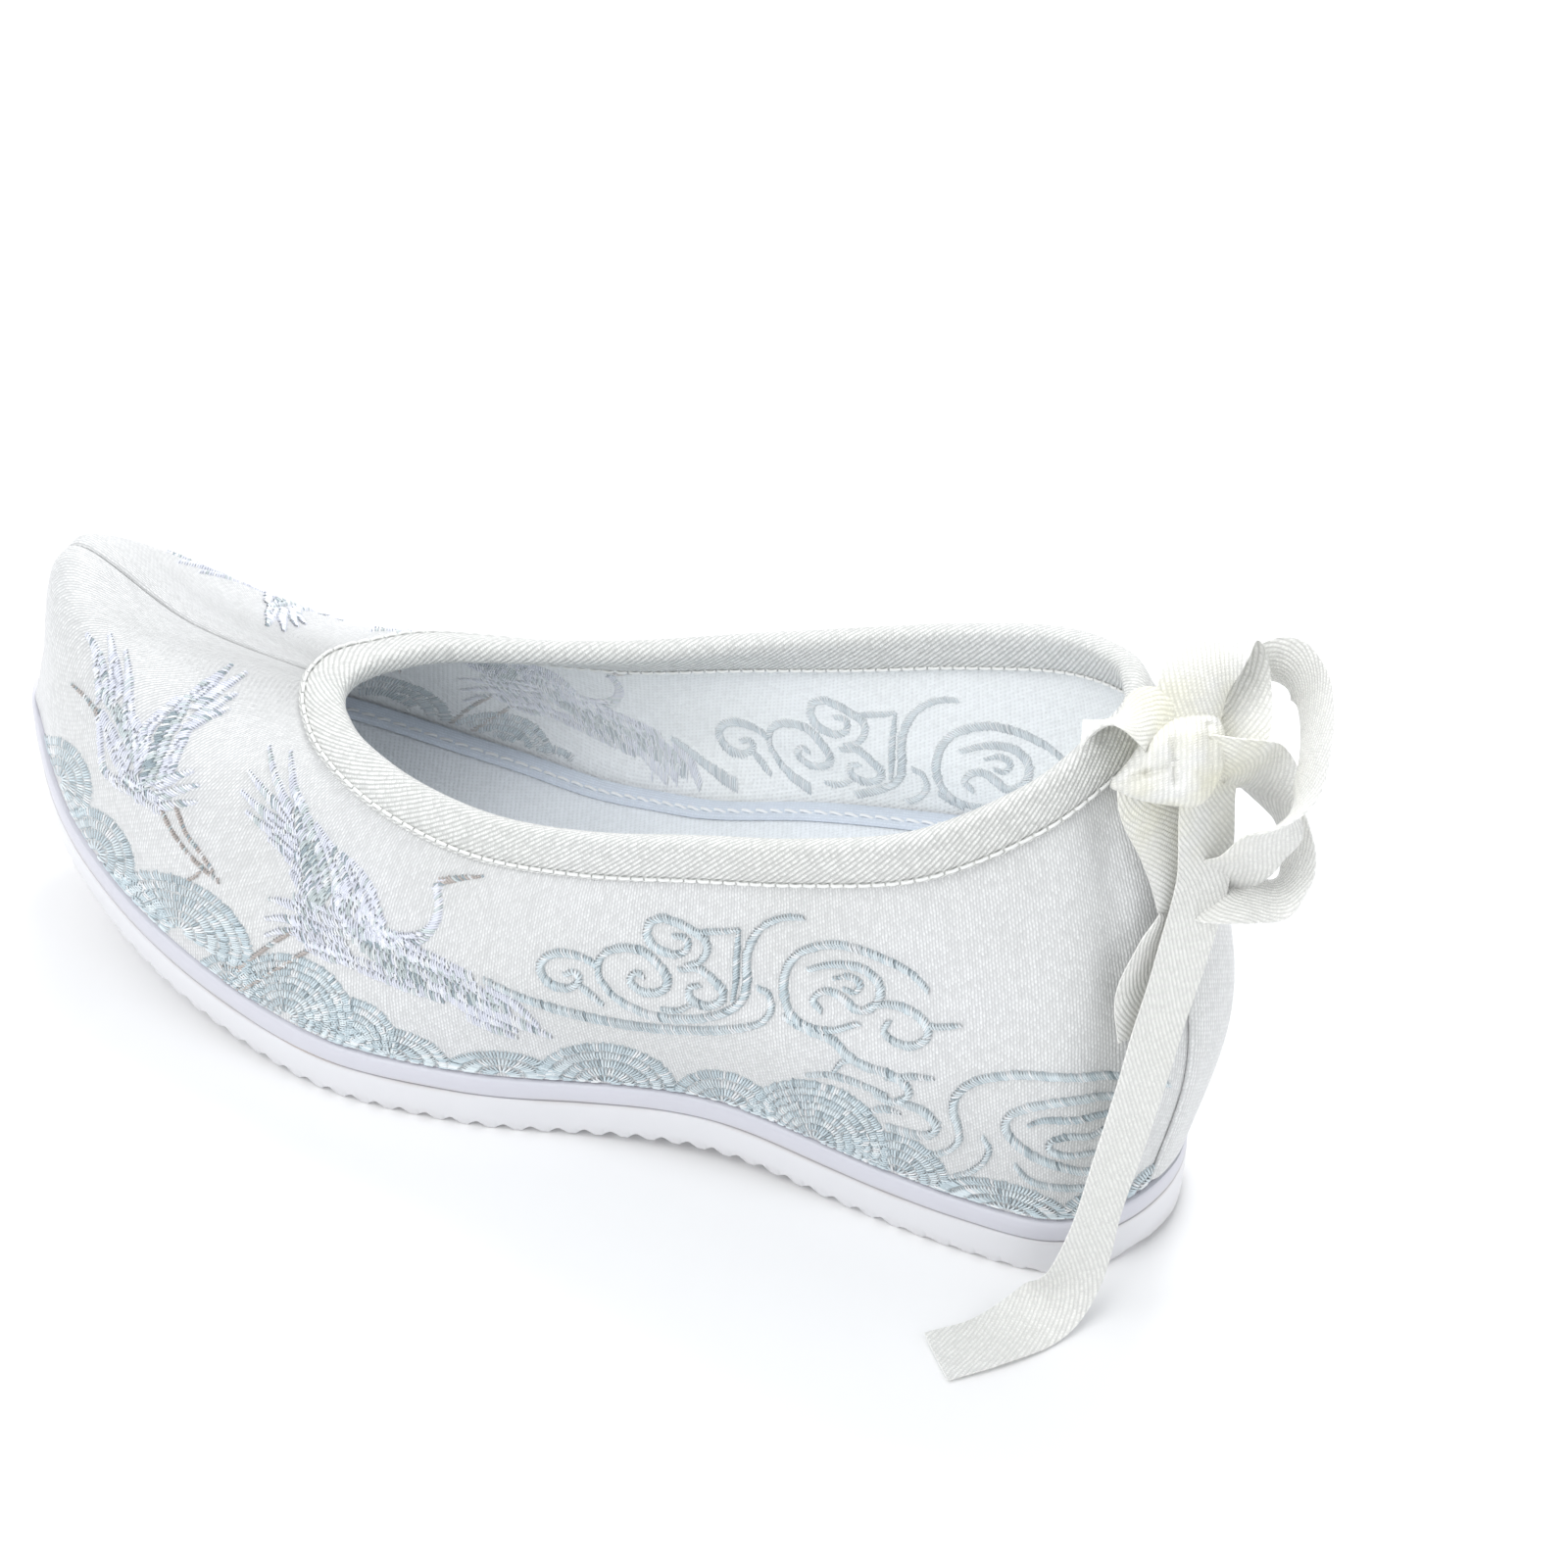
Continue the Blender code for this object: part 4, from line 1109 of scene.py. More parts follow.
def build_tape(name, rows, finish, camber):
    """A cambered strip of tape with rounded selvedges along its middle line."""
    width = sizes().ribbon_width / MM
    middle, run, across = tape_frames(rows)
    normal = np.cross(run, across)
    spread = np.linspace(-1.0, 1.0, RIBBON_ACROSS)
    thick = RIBBON_THICKNESS / 2.0 * (1.0 - SELVEDGE_THINNING * np.abs(spread) ** SELVEDGE_POWER)
    arch = camber * (0.5 - spread**2)
    ring_across = np.concatenate([spread, spread[::-1]])
    ring_up = np.concatenate([arch + thick, (arch - thick)[::-1]])
    points = (
        middle[:, None, :]
        + across[:, None, :] * (ring_across * width / 2.0)[None, :, None]
        + normal[:, None, :] * ring_up[None, :, None]
    )
    points[..., 2] = np.maximum(points[..., 2], FLOOR_CLEAR)
    uv = ring_uv(close(ring_across) * width / 2.0, run_length(middle))
    return tube_piece(name, points, uv, finish), middle


KNOT_AROUND = 160
KNOT_RINGS = 56
KNOT_FULLNESS = 0.8


def knot_relief(places):
    """Height of the knot's folds at (right, up) places."""
    height = np.zeros(places.shape[:-1])
    for fold in KNOT_FOLDS:
        start, end = (fold.right, fold.up), (fold.right_end, fold.up_end)
        height = height + fold.height * soft_line(places, start, end, fold.width)
    return height


def build_knot(finish):
    """Tape pulled tight over itself: a flat bundle drawn to a point, with the wrap's folds on its front."""
    outline = np.array(KNOT_OUTLINE)
    rows = np.vstack([outline[-1], outline, outline[:2]])
    edge = catmull_rom(rows, np.linspace(0.0, len(outline), KNOT_AROUND, endpoint=False))
    turn = np.linspace(0.0, np.pi, KNOT_RINGS + 2)[1:-1]
    reach, rise = np.sin(turn) ** KNOT_FULLNESS, np.cos(turn)
    flat = np.array(KNOT_MIDDLE) + (edge - KNOT_MIDDLE)[:, None, :] * reach[None, :, None]
    front = rise > 0.0
    out = KNOT_OUT + rise * np.where(front, KNOT_FRONT, KNOT_BACK)
    out = out[None, :] + knot_relief(flat) * np.where(front, np.sqrt(np.abs(rise)), 0.0)[None, :]
    points = in_bow(np.concatenate([flat, out[..., None]], axis=-1)) + BOW_CENTRE
    flat = np.concatenate([flat, flat[:1]])
    uv = np.stack([flat[..., 0] - RIBBON_LEAN * flat[..., 1], flat[..., 1]], axis=-1)
    mesh_points, faces, corner_uv, _ = lattice(points, uv, True, False)
    ends = [[row * KNOT_RINGS + ring for row in range(KNOT_AROUND)] for ring in (0, KNOT_RINGS - 1)]
    faces = [list(face) for face in faces] + ends
    corner_uv = list(corner_uv) + [uv[:-1, ring] for ring in (0, KNOT_RINGS - 1)]
    return add_piece("ribbon_knot_wrap", mesh_points, faces, corner_uv, [finish])


class CLOTHSHOE_OT_outsole(bpy.types.Operator):
    """Make the moulded sole with its ribs, side groove and rim"""

    bl_idname = "cloth_shoe.outsole"
    bl_label = "Outsole"

    def execute(self, context):
        piece = build_outsole(rubber_material())
        finish_piece(piece, "outsole", "outsole")
        return {"FINISHED"}


# Brown streak in the groove on the outer side of the ball
DIRT_PLACE = (42.5, 41.3, 10.5)
DIRT_REACH = 10.0
DIRT_TONE = (166, 138, 104)
# Dust round the groove, darkening low on the side towards the floor, and the dark line of painted shade in
# the groove: reach in mm and strength
DUST_TONE = (196, 191, 188)
GROOVE_SHADE_TONE = (142, 140, 148)
RIM_BLEND = 0.3
GROOVE_DUST = (1.0, 0.85)
LOW_SIDE_DARKENING = (3.5, 0.4)
GROOVE_LINE = (0.26, 0.7)
GROOVE_LINE_CORE = 0.1
RUBBER_PATCHES = 60.0
RUBBER_GRAIN = 1600.0
RUBBER_GRAIN_DEPTH = 0.05
RUBBER_BUMP = 0.25
RUBBER_ROUGHNESS = 0.3
RUBBER_GLOSS_CHANGE = 0.18
RUBBER_MILK = 0.15
RUBBER_MILK_TINT = (1.0, 0.95, 1.0)
RUBBER_MILK_DEPTH = 4.0


def rubber_material():
    """Milky moulded rubber: lilac rim over a greyer side, dust and a painted shade line in the groove, darker
    towards the floor, and a fine moulded grain.
    """
    made, net, shader = new_material("Moulded rubber")
    cloth = net.add("ShaderNodeUVMap", uv_map="Cloth")
    place = net.add("ShaderNodeTexCoord")
    level = net.add("ShaderNodeSeparateXYZ", {"Vector": cloth.outputs["UV"]})
    low, high = SOLE_GROOVE_HEIGHT - RIM_BLEND, SOLE_GROOVE_HEIGHT + RIM_BLEND
    band = net.ramp(level.outputs["Y"], low, high, kind="SMOOTHSTEP")
    two = net.mix(band, rgba(colours().rubber), rgba(colours().rubber_rim))
    patches = patch_mask(net, place, RUBBER_PATCHES)
    off_groove = net.math("ABSOLUTE", net.math("SUBTRACT", level.outputs["Y"], SOLE_GROOVE_HEIGHT))
    by_groove = net.ramp(off_groove, GROOVE_DUST[0], 0.0, GROOVE_DUST[1])
    # Darker towards the floor, in patches
    by_floor = net.ramp(level.outputs["Y"], LOW_SIDE_DARKENING[0], 0.0, LOW_SIDE_DARKENING[1])
    dust = net.math("MULTIPLY", by_groove, patches)
    low_side_dark = net.math("MULTIPLY", by_floor, patches)
    dusty = net.mix(net.math("MAXIMUM", dust, low_side_dark), two, rgba(srgb(*DUST_TONE)))
    # Painted shade: a dark line in the groove, brown with dirt by the ball
    line = net.ramp(off_groove, GROOVE_LINE[0], GROOVE_LINE_CORE, GROOVE_LINE[1])
    spot = net.add(
        "ShaderNodeMapping",
        {
            "Vector": place.outputs["Object"],
            "Location": Vector(DIRT_PLACE) * MM,
            "Scale": (DIRT_REACH * MM,) * 3,
        },
        vector_type="TEXTURE",
    )
    dirt = net.add("ShaderNodeTexGradient", {"Vector": spot.outputs["Vector"]}, gradient_type="SPHERICAL")
    groove_shade_and_dirt = net.mix(dirt.outputs["Fac"], rgba(srgb(*GROOVE_SHADE_TONE)), rgba(srgb(*DIRT_TONE)))
    net.feed(shader.inputs["Base Color"], net.mix(line, dusty, groove_shade_and_dirt))
    grain = net.noise(place.outputs["Object"], RUBBER_GRAIN)
    gloss = net.math("MULTIPLY_ADD", grain, RUBBER_GLOSS_CHANGE, RUBBER_ROUGHNESS)
    net.feed(shader.inputs["Roughness"], gloss)
    inputs = {"Height": grain, "Strength": RUBBER_BUMP, "Distance": RUBBER_GRAIN_DEPTH * MM}
    bump = net.add("ShaderNodeBump", inputs)
    net.feed(shader.inputs["Normal"], bump.outputs["Normal"])
    shader.inputs["Subsurface Weight"].default_value = RUBBER_MILK
    shader.inputs["Subsurface Radius"].default_value = RUBBER_MILK_TINT
    shader.inputs["Subsurface Scale"].default_value = RUBBER_MILK_DEPTH * MM
    return made


def sole_stations():
    back, front = SECTIONS[0].sole_x, SECTIONS[-1].sole_x
    inner = np.arange(back + SOLE_STEP, front - SOLE_STEP / 2, SOLE_STEP)
    ends = np.array(SOLE_END_STEPS)
    return np.concatenate([back + ends, inner, front - ends[::-1]])


def build_outsole(finish):
    fine = np.linspace(0.0, LAST_SECTION, SOLE_EDGE_SAMPLES)
    x = sole_stations()
    from_rib = np.abs(x - np.round(x / RIB_PITCH) * RIB_PITCH)
    groove = smooth_step((from_rib - RIB_LAND / 2) / (RIB_PITCH / 2 - RIB_LAND / 2)) ** RIB_ROUND
    heel = smooth_step((HEEL_RIB_END - x) / HEEL_RIB_FADE)
    depth = groove * (RIB_DEPTH + (HEEL_RIB_DEPTH - RIB_DEPTH) * heel)
    columns = []
    for side in SIDES:
        edge = sole_edge(fine, side)
        half = np.abs(np.interp(x, edge[:, 0], edge[:, 1]))
        profile = []
        for level in SOLE_SIDE:
            width = np.maximum(half - level.inset, SOLE_LEAST_WIDTH * half)
            height = level.height * sole_height(x) / SOLE_THICKNESS
            height = np.maximum(height, depth + SOLE_LEVEL_SHARE * level.height)
            profile.append(np.column_stack([x, side * width, sole_lift(x) + height]))
        columns += profile if side > 0 else profile[::-1]
    points = np.stack(columns, axis=1)
    heights = [level.height for level in SOLE_SIDE]
    heights = np.array(heights + heights[::-1])
    uv = ring_uv(close(heights), x)[..., ::-1]
    end_uv = np.column_stack([np.zeros(len(heights)), heights])
    return tube_piece("outsole_rubber", points, uv, finish, end_uv)


class CLOTHSHOE_OT_upper(bpy.types.Operator):
    """Make the satin upper with its lining, toe seam and creases, and the strip over the heel seam"""

    bl_idname = "cloth_shoe.upper"
    bl_label = "Upper and back strip"

    def execute(self, context):
        rib = sizes().satin_rib / MM
        weave = Weave(rib=rib, cross=1.1, lean=0.0, share=0.6, relief=0.14)
        satin = cloth_material(
            "Satin", colours().satin, weave, roughness=0.4, sheen=0.15, deep=0.66, specular=0.45
        )
        add_seam_shade(satin)
        mesh = Weave(rib=0.95, cross=0.95, lean=0.0, share=0.85, relief=0.12, grid=1.0)
        lining = cloth_material("Lining mesh", colours().lining, mesh, roughness=0.75, sheen=0.1, deep=0.86)
        finish_piece(build_upper(satin, lining), "upper", "upper")
        finish_piece(build_back_strip(satin), "back_strip", "back_strip")
        return {"FINISHED"}


# Painted shade in the fold of the toe's centre seam: its half width and full core in mm, and its tone
SEAM_SHADE_HALF = 0.32
SEAM_SHADE_CORE = 0.08
SEAM_SHADE_TONE = (0.62, 0.62, 0.62)


def add_seam_shade(satin):
    """Paints shade on the cloth in the fold of the toe's centre seam."""
    net = Net(satin.node_tree)
    shader = satin.node_tree.nodes["Principled BSDF"]
    cloth_colour = shader.inputs["Base Color"].links[0].from_socket
    place = net.add("ShaderNodeSeparateXYZ", {"Vector": net.add("ShaderNodeTexCoord").outputs["Object"]})
    off = net.math("ABSOLUTE", place.outputs["Y"])
    near = net.ramp(off, SEAM_SHADE_HALF * MM, SEAM_SHADE_CORE * MM)
    fold = net.math("MULTIPLY", near, net.math("GREATER_THAN", place.outputs["X"], 0.0))
    tone = net.mix(fold, WHITE, rgba(SEAM_SHADE_TONE))
    net.feed(shader.inputs["Base Color"], net.tint(cloth_colour, tone))


UPPER_STEPS = 14
TOE_STEPS = 32
UPPER_UP = 48
LINING_UP = 28


def round_shoe(column, steps, toe_steps):
    """Rows of a function of (places, side): out from the heel along one side, and back along the other."""
    before_toe = np.linspace(0.0, LAST_SECTION - 1, (LAST_SECTION - 1) * steps + 1)
    at_toe = np.linspace(LAST_SECTION - 1, LAST_SECTION, toe_steps + 1)[1:]
    places = np.concatenate([before_toe, at_toe])
    return np.concatenate([column(places, 1), column(places[-2:0:-1], -1)])


def build_upper(satin, lining):
    up_out = np.linspace(0.0, GUIDES_UP, UPPER_UP + 1)
    up_in = np.linspace(GUIDES_UP, 0.0, LINING_UP + 1)

    def column(places, side):
        outer = skin_point(places[:, None], up_out[None, :], side, 0.0)
        inner = inside_point(places[:, None], up_in[None, :], side, WALL)
        return np.concatenate([outer, inner], axis=1)

    points = round_shoe(column, UPPER_STEPS, TOE_STEPS)
    around = run_length(close(points[:, UPPER_UP // 2]))
    rise = np.linalg.norm(np.diff(points, axis=1), axis=2)
    whole = np.sum(rise, axis=1, keepdims=True) + WALL
    rise = np.hstack([np.zeros((len(points), 1)), np.cumsum(rise, axis=1), whole])
    rise = np.vstack([rise, rise[:1]])
    uv = np.stack(np.broadcast_arrays(around[:, None], rise), axis=-1)
    flat, faces, corner_uv, column_of = lattice(points, uv, True, True)
    return add_piece("upper_satin", flat, faces, corner_uv, [satin, lining], column_of > UPPER_UP)


def build_back_strip(satin):
    spread = np.linspace(-1.0, 1.0, STRIP_ACROSS)
    columns = []
    edge = 1.0 - np.abs(spread) ** STRIP_EDGE_POWER
    thick = STRIP_THICKNESS * (STRIP_EDGE_SHARE + (1.0 - STRIP_EDGE_SHARE) * edge)
    for part, lift in zip(
        np.concatenate([spread, spread[::-1]]),
        np.concatenate([GAP + thick, np.full(STRIP_ACROSS, GAP / 2)]),
    ):
        side = 1 if part >= 0 else -1
        place = np.array([abs(part) * STRIP_HALF])
        top = below_collar(place, side, STRIP_TOP_BELOW_COLLAR)[0]
        up = np.linspace(STRIP_FOOT, top, STRIP_UP)
        columns.append(skin_point(np.full(STRIP_UP, place[0]), up, side, lift))
    points = np.stack(columns, axis=1)
    across = close(np.concatenate([spread, spread[::-1]])) * STRIP_HALF_MM
    rise = run_length(points[:, STRIP_ACROSS // 2])
    return tube_piece("back_strip_satin", points, ring_uv(across, rise), satin)


class CLOTHSHOE_OT_binding(bpy.types.Operator):
    """Make the twill tape folded over the collar, with its stitching"""

    bl_idname = "cloth_shoe.binding"
    bl_label = "Collar binding"

    def execute(self, context):
        rib = sizes().binding_rib / MM
        weave = Weave(rib=rib, cross=0.6, lean=0.75, share=0.4, relief=0.3)
        tape = cloth_material("Binding twill", colours().binding, weave, roughness=0.55, sheen=0.2, deep=0.56)
        finish_piece(build_binding(tape), "collar_binding", "collar_binding")
        thread = thread_material("Binding thread", scaled(colours().binding, BINDING_THREAD_TONE))
        for name, off in (
            ("binding_stitches_outer", BINDING_STITCH_OUT),
            ("binding_stitches_inner", BINDING_STITCH_BACK),
        ):
            path, normals = collar_path(BINDING_STITCH_IN, off)
            piece = stitch_row(name, path, normals, sizes().seam_stitch, thread, closed=True)
            finish_piece(piece, "collar_binding")
        return {"FINISHED"}


def collar_offsets(places, side, fold):
    """Points of the folded tape: each given by how far down the wall and how far off it."""
    edge = wall_point(places, np.full(len(places), float(GUIDES_UP)), side)
    before = wall_point(places, np.full(len(places), GUIDES_UP - SLOPE_STEP), side)
    beyond = unit(edge - before)
    normal = wall_normal(places, np.full(len(places), float(GUIDES_UP)), side)
    columns = []
    for down, off in fold:
        if down > 0:
            up = below_collar(places, side, down)
            columns.append(inside_point(places, up, side, -off))
        else:
            columns.append(edge - beyond * down + normal * off)
    return np.stack(columns, axis=1)


def build_binding(finish):
    def column(places, side):
        return collar_offsets(places, side, BINDING_FOLD)

    points = round_shoe(column, BINDING_STEPS, BINDING_TOE_STEPS)
    around = run_length(close(points[:, BINDING_FACE]))
    ring = run_length(close(np.array(BINDING_FOLD)))
    flat, faces, corner_uv, _ = lattice(points, ring_uv(ring, around), True, True)
    return add_piece("collar_binding_tape", flat, faces, corner_uv, [finish])


def collar_path(down, off):
    """Line of a row of stitches in the tape, and the directions that the stitches face."""

    def line(places, side):
        return collar_offsets(places, side, [(down, off)])[:, 0]

    def facing(places, side):
        return wall_normal(places, below_collar(places, side, down), side)

    normals = round_shoe(facing, BINDING_STEPS, BINDING_TOE_STEPS)
    return round_shoe(line, BINDING_STEPS, BINDING_TOE_STEPS), normals if off > 0 else -normals


class CLOTHSHOE_OT_insole(bpy.types.Operator):
    """Make the canvas insole over its wedge, the tape round its edge and the tape's stitches"""

    bl_idname = "cloth_shoe.insole"
    bl_label = "Insole"

    def execute(self, context):
        plain = Weave(rib=1.0, cross=1.0, lean=0.45, share=0.7, relief=0.15, grid=0.9)
        canvas = cloth_material("Canvas", colours().canvas, plain, roughness=0.85, sheen=0.1, deep=0.88)
        fine = Weave(rib=0.7, cross=0.7, lean=0.0, share=0.6, relief=0.1)
        piping = cloth_material("Piping tape", colours().piping, fine, roughness=0.75, sheen=0.15, deep=0.86)
        insole = build_insole(canvas)
        finish_piece(insole, "insole", "insole")
        finish_piece(build_piping(piping), "insole_binding", "insole_binding")
        thread = thread_material("Piping thread", srgb(*FOOTBED_THREAD))
        high = FOOTBED_TAPE_THICKNESS + GAP + FOOTBED_STITCH_CLEAR
        path, normals = piping_path(FOOTBED_STITCH_IN, high)
        length = sizes().seam_stitch * FOOTBED_STITCH_LENGTH
        stitches = stitch_row("piping_stitches", path, normals, length, thread, closed=False)
        finish_piece(stitches, "insole_binding")
        return {"FINISHED"}


def footbed_places(last):
    places = np.linspace(0.0, last, int(last * FOOTBED_STEPS) + 1)
    places[0] = FOOTBED_END
    if last == LAST_SECTION:
        places[-1] = LAST_SECTION - FOOTBED_END
    return places


def build_insole(finish):
    inside = WALL + FOOTBED_CLEAR
    places = footbed_places(LAST_SECTION)
    edges = {}
    for side in SIDES:
        top = footbed_level(places, side, inside)
        part = np.linspace(0.0, 1.0, FOOTBED_WALL_ROWS)
        wall = inside_point(places[:, None], top[:, None] * part[None, :], side, inside)
        wall[:, 0, 2] = sole_top(wall[:, 0, 0]) + GAP
        edges[side] = wall
    spread = np.linspace(0.0, 1.0, FOOTBED_ACROSS + 2)[1:-1]
    from_edge = edges[1][:, -1][:, None, :]
    to_edge = edges[-1][:, -1][:, None, :]
    across = from_edge + (to_edge - from_edge) * spread[None, :, None]
    across[..., 2] = footbed_top(across[..., 0]) - FOOTBED_DISH * np.sin(np.pi * spread)[None, :] ** 2
    points = np.concatenate([edges[1], across, edges[-1][:, ::-1]], axis=1)
    ring = np.concatenate([points[..., 1], points[:, :1, 1]], axis=1)
    uv = np.stack([np.broadcast_to(points[:, :1, 0], ring.shape), ring], axis=-1)
    return tube_piece("insole_canvas", points, uv, finish)


def piping_rows():
    """Edge of the footbed and the way in from it, round the heel from one toe side to the other."""
    inside = WALL + FOOTBED_TAPE_CLEAR
    places = footbed_places(FOOTBED_TAPE_END)
    edges, inwards = [], []
    for side in SIDES:
        level = footbed_level(places, side, inside)
        edge = inside_point(places, level, side, inside)
        inward = -wall_normal(places, level, side)
        inward[:, 2] = 0.0
        inward = unit(inward)
        edges.append(edge[::-1] if side > 0 else edge[1:])
        inwards.append(inward[::-1] if side > 0 else inward[1:])
    return np.concatenate(edges), np.concatenate(inwards)


PIPING_SECTION = (
    (0.0, 0.0),
    (0.0, 0.8),
    (0.4, 1.0),
    (1.6, 1.15),
    (3.0, 1.1),
    (3.7, 0.9),
    (4.3, 1.05),
    (4.8, 0.85),
    (5.0, 0.4),
    (5.0, 0.0),
)


def build_piping(finish):
    edge, inward = piping_rows()
    columns = []
    for across, high in PIPING_SECTION:
        point = edge + inward * across
        point[:, 2] = footbed_top(point[:, 0]) + GAP + high * FOOTBED_TAPE_THICKNESS
        columns.append(point)
    points = np.stack(columns, axis=1)
    ring = run_length(close(np.array(PIPING_SECTION)))
    return tube_piece("insole_binding_tape", points, ring_uv(ring, run_length(edge)), finish)


def piping_path(across, high):
    edge, inward = piping_rows()
    path = edge + inward * across
    path[:, 2] = footbed_top(path[:, 0]) + high
    return path, np.tile((0.0, 0.0, 1.0), (len(path), 1))


# Silk thread: painted shade on its sides, the tone of its darker lengths, and its gloss
FLANK_SHADE_TONE = (0.85, 0.87, 0.89)
THREAD_SHADE = (0.86, 0.86, 0.86)
THREAD_GRAIN = 900.0
THREAD_ROUGHNESS = 0.36
THREAD_GLOSS_CHANGE = 0.15
THREAD_SHEEN = 0.2


def thread_material(name, colour=None):
    """Silky thread: its own colour or the stitch's, with a fine change along it, and painted shade on its
    sides.
    """
    made, net, shader = new_material(name)
    place = net.add("ShaderNodeTexCoord")
    noise = net.noise(place.outputs["Object"], THREAD_GRAIN)
    if colour is None:
        stitch = net.add("ShaderNodeAttribute", attribute_name="stitch_colour").outputs["Color"]
    else:
        stitch = rgba(colour)
    spun = net.tint(stitch, net.mix(noise, rgba(THREAD_SHADE), WHITE))
    flank = net.add("ShaderNodeAttribute", attribute_name="flank").outputs["Fac"]
    # Painted shade on the thread's sides
    net.feed(shader.inputs["Base Color"], net.tint(spun, net.mix(flank, WHITE, rgba(FLANK_SHADE_TONE))))
    gloss = net.math("MULTIPLY_ADD", noise, THREAD_GLOSS_CHANGE, THREAD_ROUGHNESS)
    net.feed(shader.inputs["Roughness"], gloss)
    shader.inputs["Sheen Weight"].default_value = THREAD_SHEEN
    return made


# Stitches of a seam: their spacing by their length, their thread and bow by the embroidery's, and their mesh
SEAM_SPACING = 1.25
SEAM_THREAD = 1.5
SEAM_BOW = 0.6
SEAM_STITCH_STEPS = 5
SEAM_STITCH_SIDES = 6


def stitch_row_tree():
    """Stitches laid end to end along a path, each a short bowed length of thread."""
    found = bpy.data.node_groups.get("Stitch row")
    if found:
        return found
    net, given, result = new_group(
        "Stitch row",
        "GeometryNodeTree",
        (
            ("Path", "NodeSocketGeometry", None),
            ("Spacing", "NodeSocketFloat", 0.003),
            ("Stitch length", "NodeSocketFloat", 0.002),
            ("Thread thickness", "NodeSocketFloat", 0.0005),
            ("Bow", "NodeSocketFloat", 0.0002),
            ("Finish", "NodeSocketMaterial", None),
        ),
        (("Stitches", "NodeSocketGeometry"),),
    )
    path = net.add("GeometryNodeMeshToCurve", {"Mesh": given.outputs["Path"]})
    spaced = net.add("GeometryNodeResampleCurve", {"Curve": path.outputs["Curve"]}, mode="LENGTH")
    net.feed(spaced.inputs["Length"], given.outputs["Spacing"])
    half = net.math("MULTIPLY", given.outputs["Stitch length"], 0.5)
    start = net.add("ShaderNodeCombineXYZ", {"X": net.math("MULTIPLY", half, -1.0)})
    end = net.add("ShaderNodeCombineXYZ", {"X": half})
    middle = net.add("ShaderNodeCombineXYZ", {"Z": net.math("MULTIPLY", given.outputs["Bow"], 2.0)})
    inputs = {"Start": start.outputs[0], "Middle": middle.outputs[0], "End": end.outputs[0]}
    bow = net.add("GeometryNodeCurveQuadraticBezier", {**inputs, "Resolution": SEAM_STITCH_STEPS})
    ring = net.add("GeometryNodeCurvePrimitiveCircle", {"Resolution": SEAM_STITCH_SIDES})
    net.feed(ring.inputs["Radius"], net.math("MULTIPLY", given.outputs["Thread thickness"], 0.5))
    inputs = {"Curve": bow.outputs["Curve"], "Profile Curve": ring.outputs["Curve"], "Fill Caps": True}
    stitch = net.add("GeometryNodeCurveToMesh", inputs)
    normal = net.add("GeometryNodeInputNamedAttribute", {"Name": "outward"}, data_type="FLOAT_VECTOR")
    tangent = net.add("GeometryNodeInputTangent")
    upright = net.add("FunctionNodeAlignRotationToVector", {"Vector": normal.outputs["Attribute"]}, axis="Z")
    turned = net.add(
        "FunctionNodeAlignRotationToVector",
        {"Rotation": upright.outputs["Rotation"], "Vector": tangent.outputs["Tangent"]},
        axis="X",
        pivot_axis="Z",
    )
    inputs = {"Points": spaced.outputs["Curve"], "Instance": stitch.outputs["Mesh"]}
    placed = net.add("GeometryNodeInstanceOnPoints", inputs)
    net.feed(placed.inputs["Rotation"], turned.outputs["Rotation"])
    real = net.add("GeometryNodeRealizeInstances", {"Geometry": placed.outputs["Instances"]})
    smooth = net.add("GeometryNodeSetShadeSmooth", {"Geometry": real.outputs["Geometry"]})
    finish = net.add("GeometryNodeSetMaterial", {"Geometry": smooth.outputs["Geometry"]})
    net.feed(finish.inputs["Material"], given.outputs["Finish"])
    net.feed(result.inputs["Stitches"], finish.outputs["Geometry"])
    return net.tree


# Laid thread: its half width by its thickness, its half height by its half width, and its sides
THREAD_SPREAD = 0.6
THREAD_FLATNESS = 0.5
THREAD_SIDES = 3


